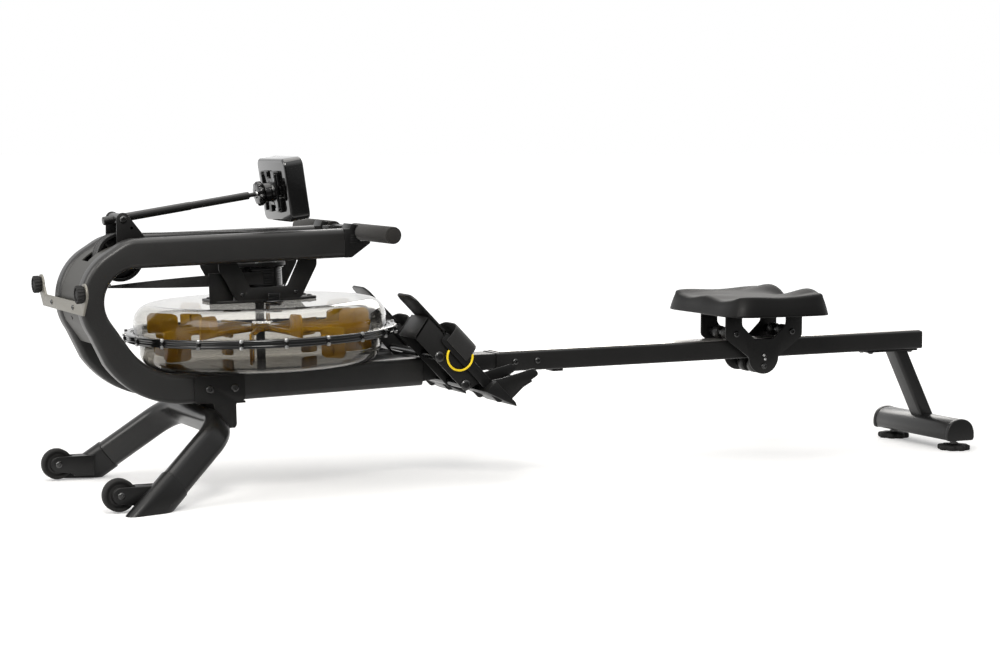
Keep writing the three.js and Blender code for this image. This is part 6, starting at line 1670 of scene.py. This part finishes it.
def addFootplate(side, way):
    f = foot
    place = soleFrame(way)
    h, t = f["half"], f["sheet"]
    tongue = roundedRect(2 * h, f["length"] - f["tongue"], f["tip"], 8, (0, (f["length"] + f["tongue"]) / 2))
    tongue = [(u, max(v, f["tongue"]) if abs(v - f["tongue"]) > f["tip"] else f["tongue"]) for u, v in tongue]
    solids = [prism(tongue, f["lift"], f["lift"] + t, "Z")]
    solids.append(slab((-h, h), (f["start"], f["tongue"] + t), (-t, 0)))
    solids.append(slab((-h, h), (f["tongue"], f["tongue"] + t), (-t, f["lift"] + t)))
    cheek = [(f["start"], -t / 2), (f["boxTo"], -t / 2), (f["cheekTo"], -f["cheek"]), (f["cheekFrom"],
            -f["cheek"])]
    for low, high in ((-h, -h + t), (h - t, h)):
        solids.append(sideOutline(softened(cheek, 6), low, high))
    end = [(f["boxTo"] - t, -t / 2), (f["boxTo"], -t / 2), (f["cheekTo"], -f["cheek"]), (f["cheekTo"] - t,
            -f["cheek"])]
    solids.append(sideOutline(end, -h, h))
    addPiece(f"{side}_foot_board", solids, "blackCoat", "frame", [f"{side}_footplate"], place, edge=0.7)
    grip = [prism(roundedRect(2 * h - 22, 3.4, 1.6, 4), 0, 1.1, "Z")]
    repeated(f"{side}_toe_ribs", grip, "rubber", lineTree, {"Count": 5, "Step": (0, 12, 0)},
             place @ Matrix.Translation((0, f["tongue"] + 22, f["lift"] + t)), "frame", edge=0.3)
    screw = boltAt((0, 0, 0), f["screw"], 1.4, 1, 20, "Z")
    repeated(f"{side}_toe_screws", [screw], "zinc", lineTree, {"Count": 2, "Step": (30, 0, 0)},
             place @ Matrix.Translation((-15, f["length"] - 16, f["lift"] + t)), "frame")
    rivet = boltAt((0, 0, 0), f["screw"], 1.6, 1, 20, "Z")
    under = Matrix.Translation((0, f["tongue"] + 40, f["lift"])) @ Matrix.Rotation(math.pi, 4, "X")
    repeated(f"{side}_toe_rivets", [rivet], "boltBlack", lineTree, {"Count": 3, "Step": (0, 26, 0)},
             place @ under, "frame")


def addHeelSlide(side, way):
    s = slide
    place = soleFrame(way)
    body = f"{side}_heel"
    low = gap
    h, t = s["half"], s["sheet"]
    ws = s["wingSheet"]
    solids = [slab((-h, h), (0, s["length"]), (low, low + t))]
    r = s["flange"] / 2
    cheek = [(s["start"], low + t / 2), (s["length"], low + t / 2)]
    cheek += arc((s["length"] - r, -s["flange"] + r), r, 0, -90) + arc((s["start"] + r, -s["flange"] + r), r,
            -90, -180)
    for pair in ((-h, -h + t), (h - t, h)):
        solids.append(sideOutline(cheek, *pair))
    wing = softened(wingOutline, 7)
    outer = s["wing"] + ws / 2
    for pair in ((-outer, -outer + ws), (outer - ws, outer)):
        solids.append(sideOutline(wing, *pair))
    back = [(-ws, low), (-2 - ws, 43), (-12, 66), (-12 + 2 * ws, 66), (-2 + ws, 43), (ws, low)]
    solids.append(sideOutline(back, -s["wing"], s["wing"]))
    wedge = [(-s["tip"], low), (s["wedge"], -s["drop"]), (s["wedge"], low + t), (-s["tip"] / 2, low + t)]
    solids.append(sideOutline(wedge, -s["heelHalf"], s["heelHalf"]))
    addPiece(f"{side}_heel_carrier", solids, "plastic", body, [f"{side}_heel_slide"], place, edge=0.8)
    tread = [prism(roundedRect(2 * h - 30, 4, 1.9, 4), 0, 1.0, "Z")]
    repeated(f"{side}_heel_ribs", tread, "rubber", lineTree, {"Count": 9, "Step": (0, 9, 0)},
             place @ Matrix.Translation((0, 18, low + t)), body, edge=0.3)
    edgeOut = way * (h + 0.9)
    along, out = ring["at"]
    strapEdge = band["at"] - band["width"] / 2 - gap
    start, steps = ring["start"], ring["steps"]
    sweep = start + 360 - math.degrees(math.acos((strapEdge - along) / ring["radius"]))
    turn = [math.radians(start - k * sweep / steps) for k in range(steps + 1)]
    spots = [(edgeOut, along + ring["radius"] * math.cos(a), out + ring["radius"] * math.sin(a))
             for a in turn]
    addPiece(f"{side}_pull_ring", [wire(spots, ring["wire"], 16)], "yellow", body, place=place, angle=60)


def addFootBand(side, way):
    b = band
    place = soleFrame(way)
    inner = slide["half"] + 3 * gap
    centres, normals, across = [], [], []
    steps = b["steps"]
    for k in range(steps + 1):
        angle = math.pi * k / steps
        c = -math.cos(angle)
        c = math.copysign(abs(c) ** b["share"], c)
        s = max(0.0, math.sin(angle)) ** b["roof"]
        x = (inner + b["thick"] / 2) * c
        z = b["foot"] + (b["rise"] + b["thick"] / 2 - b["foot"]) * s
        centres.append(Vector((x, b["at"], z)))
    for i in range(len(centres)):
        heading = headingAt(centres, i)
        across.append(Vector((0, -1, 0)))
        normals.append(Vector((0, -1, 0)).cross(heading) * -1)
    total = sum((centres[i + 1] - centres[i]).length for i in range(steps))
    first, last = b["ribEnds"]

    def rib(u, length):
        inside = first < length / total < last
        return b["rib"] * max(0, math.cos(u * math.pi * 4)) if inside else 0

    piece = ribbon(f"{side}_foot_webbing", centres, across, normals, b["width"], b["thick"], "webbing", place,
                   [f"{side}_foot_strap"], rib)
    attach(piece, f"{side}_heel")


def addFeet():
    for side, way in sides:
        addFootplate(side, way)
        addHeelSlide(side, way)
        addFootBand(side, way)
    for node, (x, z) in rods.items():
        reach = foot["span"] + foot["half"] + gap
        solids = [rod(rodSize["radius"], -reach, reach, (x, 0, z), "Y", 32)]
        for _, way in sides:
            solids.append(boltAt((x, way * reach, z), rodSize["head"], rodSize["height"], way, 36))
        addPiece(f"{node}_bar", solids, "boltBlack", "frame", [node])


# Seat, carriage plates and rollers

seat = {"at": 1527, "shift": -9.5, "under": 322, "length": 259, "width": 334, "tall": 50, "flare": 10,
        "rows": 96, "columns": 132, "square": 5.2, "levels": 10, "bulge": 0.9, "lip": (1.2, 5),
        "skirt": 0.72}
plate = {"span": 52, "sheet": 4, "arm": 99, "armWidth": 42, "shoulder": 268.6, "lobe": 38, "lobeAt": 225,
         "cutHigh": 296, "cutLow": 264.5, "cutHalf": 23, "pan": 6, "screw": (3.4, 2.2)}
screwPlaces = ((0, 4), (3, -5), (0, -21))
roller = {"span": 72, "upper": 14, "lower": 17, "width": 22, "shaft": 6, "sleeve": 9, "head": 7.2,
          "headHeight": 3.5}


def smoothStep(value, low, high):
    t = min(1, max(0, (value - low) / (high - low)))
    return t * t * (3 - 2 * t)


def hill(value, middle, width):
    return math.exp(-((value - middle) / width) ** 2)


def seatHeight(s, t):
    side = abs(t)
    lobe = 0.3 * hill(side, 0.52, 0.3) * smoothStep(s, 0.3, 0.9)
    notch = -0.22 * hill(t, 0, 0.2) * smoothStep(s, 0.35, 0.95)
    thigh = -0.14 * hill(side, 0.45, 0.3) * smoothStep(-s, 0.1, 0.9)
    nose = 0.02 * hill(t, 0, 0.2) * smoothStep(-s, 0.2, 0.9)
    wing = 0.14 * smoothStep(side, 0.7, 1) * (1 - 0.6 * hill(s, 0, 0.45))
    return 0.82 + lobe + notch + thigh + nose + wing - 0.05 * (1 - s * s) * (1 - t * t)


def seatOutline(s, t):
    return 1 - (0.07 * hill(t, 0, 0.25) * s ** 6 if s > 0 else 0.03 * (1 - t * t) * s ** 6)


def seatShare(u, v):  # a place in a square, drawn in to the cushion's rounded plan
    return u * math.sqrt(1 - v ** 6 / seat["square"]), v * math.sqrt(1 - u ** 6 / seat["square"])


seatMiddle = seat["at"] + seat["shift"]
seatHalf = (seat["length"] / 2, seat["width"] / 2)


def seatTop(u, v):
    c = seat
    s, t = seatShare(u, v)
    rim = max(abs(u), abs(v))
    roll = max(0.0, (rim - 0.86) / 0.14)
    drop = 0.19 * (1 - math.sqrt(max(0.0, 1 - roll ** 2.2)))
    inset = c["flare"] + 2.2 * (1 - rim)
    return (seatMiddle + s * (seatHalf[0] - inset) * seatOutline(s, t), t * (seatHalf[1] - inset),
            c["under"] + (seatHeight(s, t) - drop) * c["tall"])


def seatFoot(u, v):
    s, t = seatShare(u, v)
    return (seatMiddle + s * seatHalf[0] * seatOutline(s, t), t * seatHalf[1], seat["under"])


def eased(value):  # rows lie closer together near the rim
    return math.sin(value * math.pi / 2) * 0.35 + value * 0.65


def addRing(points, faces, previous, ring):  # joins a ring of new points to the one before
    row = list(range(len(points), len(points) + len(ring)))
    points += ring
    for k in range(len(row)):
        n = (k + 1) % len(row)
        faces.append((previous[k], row[k], row[n], previous[n]))
    return row


def outwardFrom(base):
    return Vector((base[0] - seatMiddle, base[1], 0)).normalized()


def seatSolid():
    c = seat
    nx, ny = c["rows"], c["columns"]
    shares = [(2 * i / nx - 1, 2 * j / ny - 1) for i in range(nx + 1) for j in range(ny + 1)]
    points = [seatTop(eased(u), eased(v)) for u, v in shares]
    index = [[i * (ny + 1) + j for j in range(ny + 1)] for i in range(nx + 1)]
    faces = [(index[i][j], index[i + 1][j], index[i + 1][j + 1], index[i][j + 1]) for i in range(nx)
             for j in range(ny)]
    rim = [(i, 0) for i in range(nx)] + [(nx, j) for j in range(ny)]
    rim += [(i, ny) for i in range(nx, 0, -1)] + [(0, j) for j in range(ny, 0, -1)]
    previous = [index[i][j] for i, j in rim]
    tops = [points[k] for k in previous]
    feet = [seatFoot(2 * i / nx - 1, 2 * j / ny - 1) for i, j in rim]
    for level in range(1, c["levels"] + 1):
        share = level / c["levels"]
        low = share * 0.97
        bulge = c["bulge"] * math.sin(math.pi * share)
        side = []
        for top, base in zip(tops, feet):
            x, y, z = (a + (b - a) * low for a, b in zip(top, base))
            way = outwardFrom(base)
            side.append((x + way.x * bulge, y + way.y * bulge, z))
        previous = addRing(points, faces, previous, side)
    for inset in c["lip"]:
        lip = []
        for base in feet:
            way = outwardFrom(base)
            lip.append((base[0] - way.x * inset, base[1] - way.y * inset, base[2]))
        previous = addRing(points, faces, previous, lip)
    faces.append(tuple(previous))
    return points, faces


def addSeat():
    c = seat
    skin = seatSkin("seat_skin", 0.005, (c["under"] + c["tall"] * c["skirt"]) * mm)
    piece = fillMesh("seat_pad", [seatSolid()], machine, skin)
    modified(piece, "SMOOTH", factor=0.35, iterations=3)
    smoothed(piece, 62)
    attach(piece, "seat")
    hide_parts("seat_cushion")


def railSurface(x):
    angle = math.radians(railTilt)
    return rail["top"] / math.cos(angle) + (x - rail["front"]) * math.tan(angle)


def axlePlaces():
    upper = [(x, railSurface(x) + rail["stripThick"] + roller["upper"] + 3 * gap)
             for x in (seat["at"] - roller["span"], seat["at"] + roller["span"])]
    return upper + [(seat["at"], railSurface(seat["at"]) - rail["height"] - roller["lower"] - 2 * gap)]


def addCarriage():
    p = plate
    x, top = seat["at"], seat["under"] - gap
    half, inner = p["arm"], p["arm"] - p["armWidth"]
    outline = [(x - half, top), (x - half, p["shoulder"])] + arc((x, p["lobeAt"]), p["lobe"], 180, 360, 24)
    outline += [(x + half, p["shoulder"]), (x + half, top), (x + inner, top), (x + inner, p["cutHigh"]),
                (x + p["cutHalf"], p["cutLow"]), (x - p["cutHalf"], p["cutLow"]), (x - inner, p["cutHigh"]),
                (x - inner, top)]
    for side, way in sides:
        low, high = spanOf(way, p["span"], p["span"] + p["sheet"])
        shelfLow, shelfHigh = spanOf(way, gap, p["span"] + p["sheet"])
        solids = [prism(softened(outline, 6, 3), low, high),
                  block((x - half, shelfLow, top - p["pan"]), (x + half, shelfHigh, top))]
        addPiece(f"{side}_carriage_plate", solids, "blackCoat", "seat", [f"{side}_seat_plate"], edge=0.7)
        face = way * (p["span"] + p["sheet"])
        cluster = [boltAt((x + dx, face, p["lobeAt"] + dz), *p["screw"], way) for dx, dz in screwPlaces]
        addPiece(f"{side}_carriage_screws", cluster, "zinc", "seat")
    names = ("front", "rear", "lower")
    for name, (ax, az) in zip(names, axlePlaces()):
        radius = roller["lower"] if name == "lower" else roller["upper"]
        reach = p["span"] + p["sheet"] + gap
        at = (ax, 0, az)
        wheels = []
        for k in (-1, 1):
            middle = k * (rail["strip"] - roller["width"]) / 2
            low, high = middle - roller["width"] / 2, middle + roller["width"] / 2
            wheels.append(turned([(7, low), (radius - 5, low), (radius - 4, low + 1.5),
                    (radius - 2, low + 0.6), (radius, low + 3), (radius, high - 3), (radius - 2, high - 0.6),
                    (radius - 4, high - 1.5), (radius - 5, high), (7, high)], at, "Y", 64, closed=True))
        addPiece(f"{name}_wheels", wheels, "softPlastic", f"{name}_rollers", [f"{name}_roller"], angle=50)
        metal = [rod(roller["shaft"], -reach, reach, at, "Y", 32), rod(roller["sleeve"], -p["span"] + gap,
                p["span"] - gap, at, "Y", 48)]
        addPiece(f"{name}_sleeve", metal, "boltBlack", f"{name}_rollers")
        heads = [boltAt((ax, way * reach, az), roller["head"], roller["headHeight"], way, 32) for _,
                 way in sides]
        addPiece(f"{name}_axle_heads", heads, "boltBlack", f"{name}_rollers")


# Build

addCamera()
addLamps()
addSideFrames()
addCover()
addStorage()
addHandleRests()
addHandle()
print("frame and handle done")
addPulleys()
webbingPiece = addPullStrap()
addTankTop()
addTankBowl()
addTankRing()
addImpeller()
addDriveBracket()
addDrum()
addPlug()
print("tank and drive done")
addMonitorBracket()
addArm()
addMount()
addMonitorCase()
print("monitor done")
addLegTube()
for side, way in sides:
    addLegShoe(side, way)
    addFork(side, way)
    addWheel(side, way)
addLegClamp()
addRail()
addBeam()
addRearLeg()
print("legs and rail done")
addFeet()
addSeat()
addCarriage()
print("feet and seat done")
dress("tank_cradle", "blackCoat")


# Floor and backdrop: white to the eye and in reflections, with the object's shadow kept

stage = {"reach": 60000, "albedo": 0.8, "dim": 0.12, "near": 0.3, "far": 0.75, "fade": (1.7, 4.2),
         "front": (-1.2, 1.6)}
studio = {"toward": (0.42, -0.9), "dark": 0.1, "contrast": 1.5, "overhead": 1.4, "ambient": (0.2, 0.32)}


def seen(finish):  # 1 for rays that should see the plain white set
    return finish.ray("camera").math("MAXIMUM", finish.ray("glossy")).math("MAXIMUM", finish.ray("through"))


def addFloor():
    half = stage["reach"] * mm
    mesh = bpy.data.meshes.new("floor")
    mesh.from_pydata([(-half, -half, 0), (half, -half, 0), (half, half, 0), (-half, half, 0)], [],
                     [(0, 1, 2, 3)])
    floor = linked("floor", mesh)
    finish = Finish("studio_floor")
    spot = finish.place()
    reach = finish.add("ShaderNodeVectorMath", {"operation": "LENGTH"}, {0: spot}, output=1)
    start, end = stage["fade"]
    faded = ((reach - start) * (1 / (end - start))).held()
    edge, depth = stage["front"]
    behind = ((finish.add("ShaderNodeSeparateXYZ", inputs={"Vector": spot}, output=1)
               - edge) * (1 / depth)).held()
    mirrored = finish.ray("glossy")
    lift = faded * (stage["far"] - stage["near"]) + stage["near"]
    finish.shade({
        "Base Color": finish.blend(mirrored * (1 - behind), (stage["albedo"],) * 3, (stage["dim"],) * 3),
        "Roughness": 0.9,
        "Specular IOR Level": 0.0,
        "Emission Color": seen(finish) * lift * (1 - mirrored * (1 - behind)),
        "Emission Strength": 1.0,
    })
    mesh.materials.append(finish.material)


def addBackdrop():
    world = bpy.data.worlds.new("studio")
    bpy.context.scene.world = world
    world.use_nodes = True
    sky = Finish("studio", world.node_tree)
    direction = sky.add("ShaderNodeTexCoord", output=0)
    x, y, z = (sky.add("ShaderNodeSeparateXYZ", inputs={"Vector": direction}, output=k) for k in range(3))
    tx, ty = studio["toward"]
    shade = ((x * tx + y * ty) * studio["contrast"]).held() * (1 - (z * studio["overhead"]).held())
    bright = 1 - shade * (1 - studio["dark"])  # dim on the camera's side, so that dark faces keep their shape
    base, gain = studio["ambient"]
    mirrored = sky.ray("glossy")
    level = mirrored * bright + (1 - mirrored) * (bright * gain + base)
    level = level.math("MAXIMUM", sky.ray("camera")).math("MAXIMUM", sky.ray("through"))
    background = sky.add("ShaderNodeBackground", inputs={"Color": level, "Strength": 1.0})
    sky.add("ShaderNodeOutputWorld", inputs={"Surface": background})


addFloor()
addBackdrop()
bpy.context.scene.view_settings.view_transform = "Standard"

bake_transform(webbingPiece)

print("scene ready")
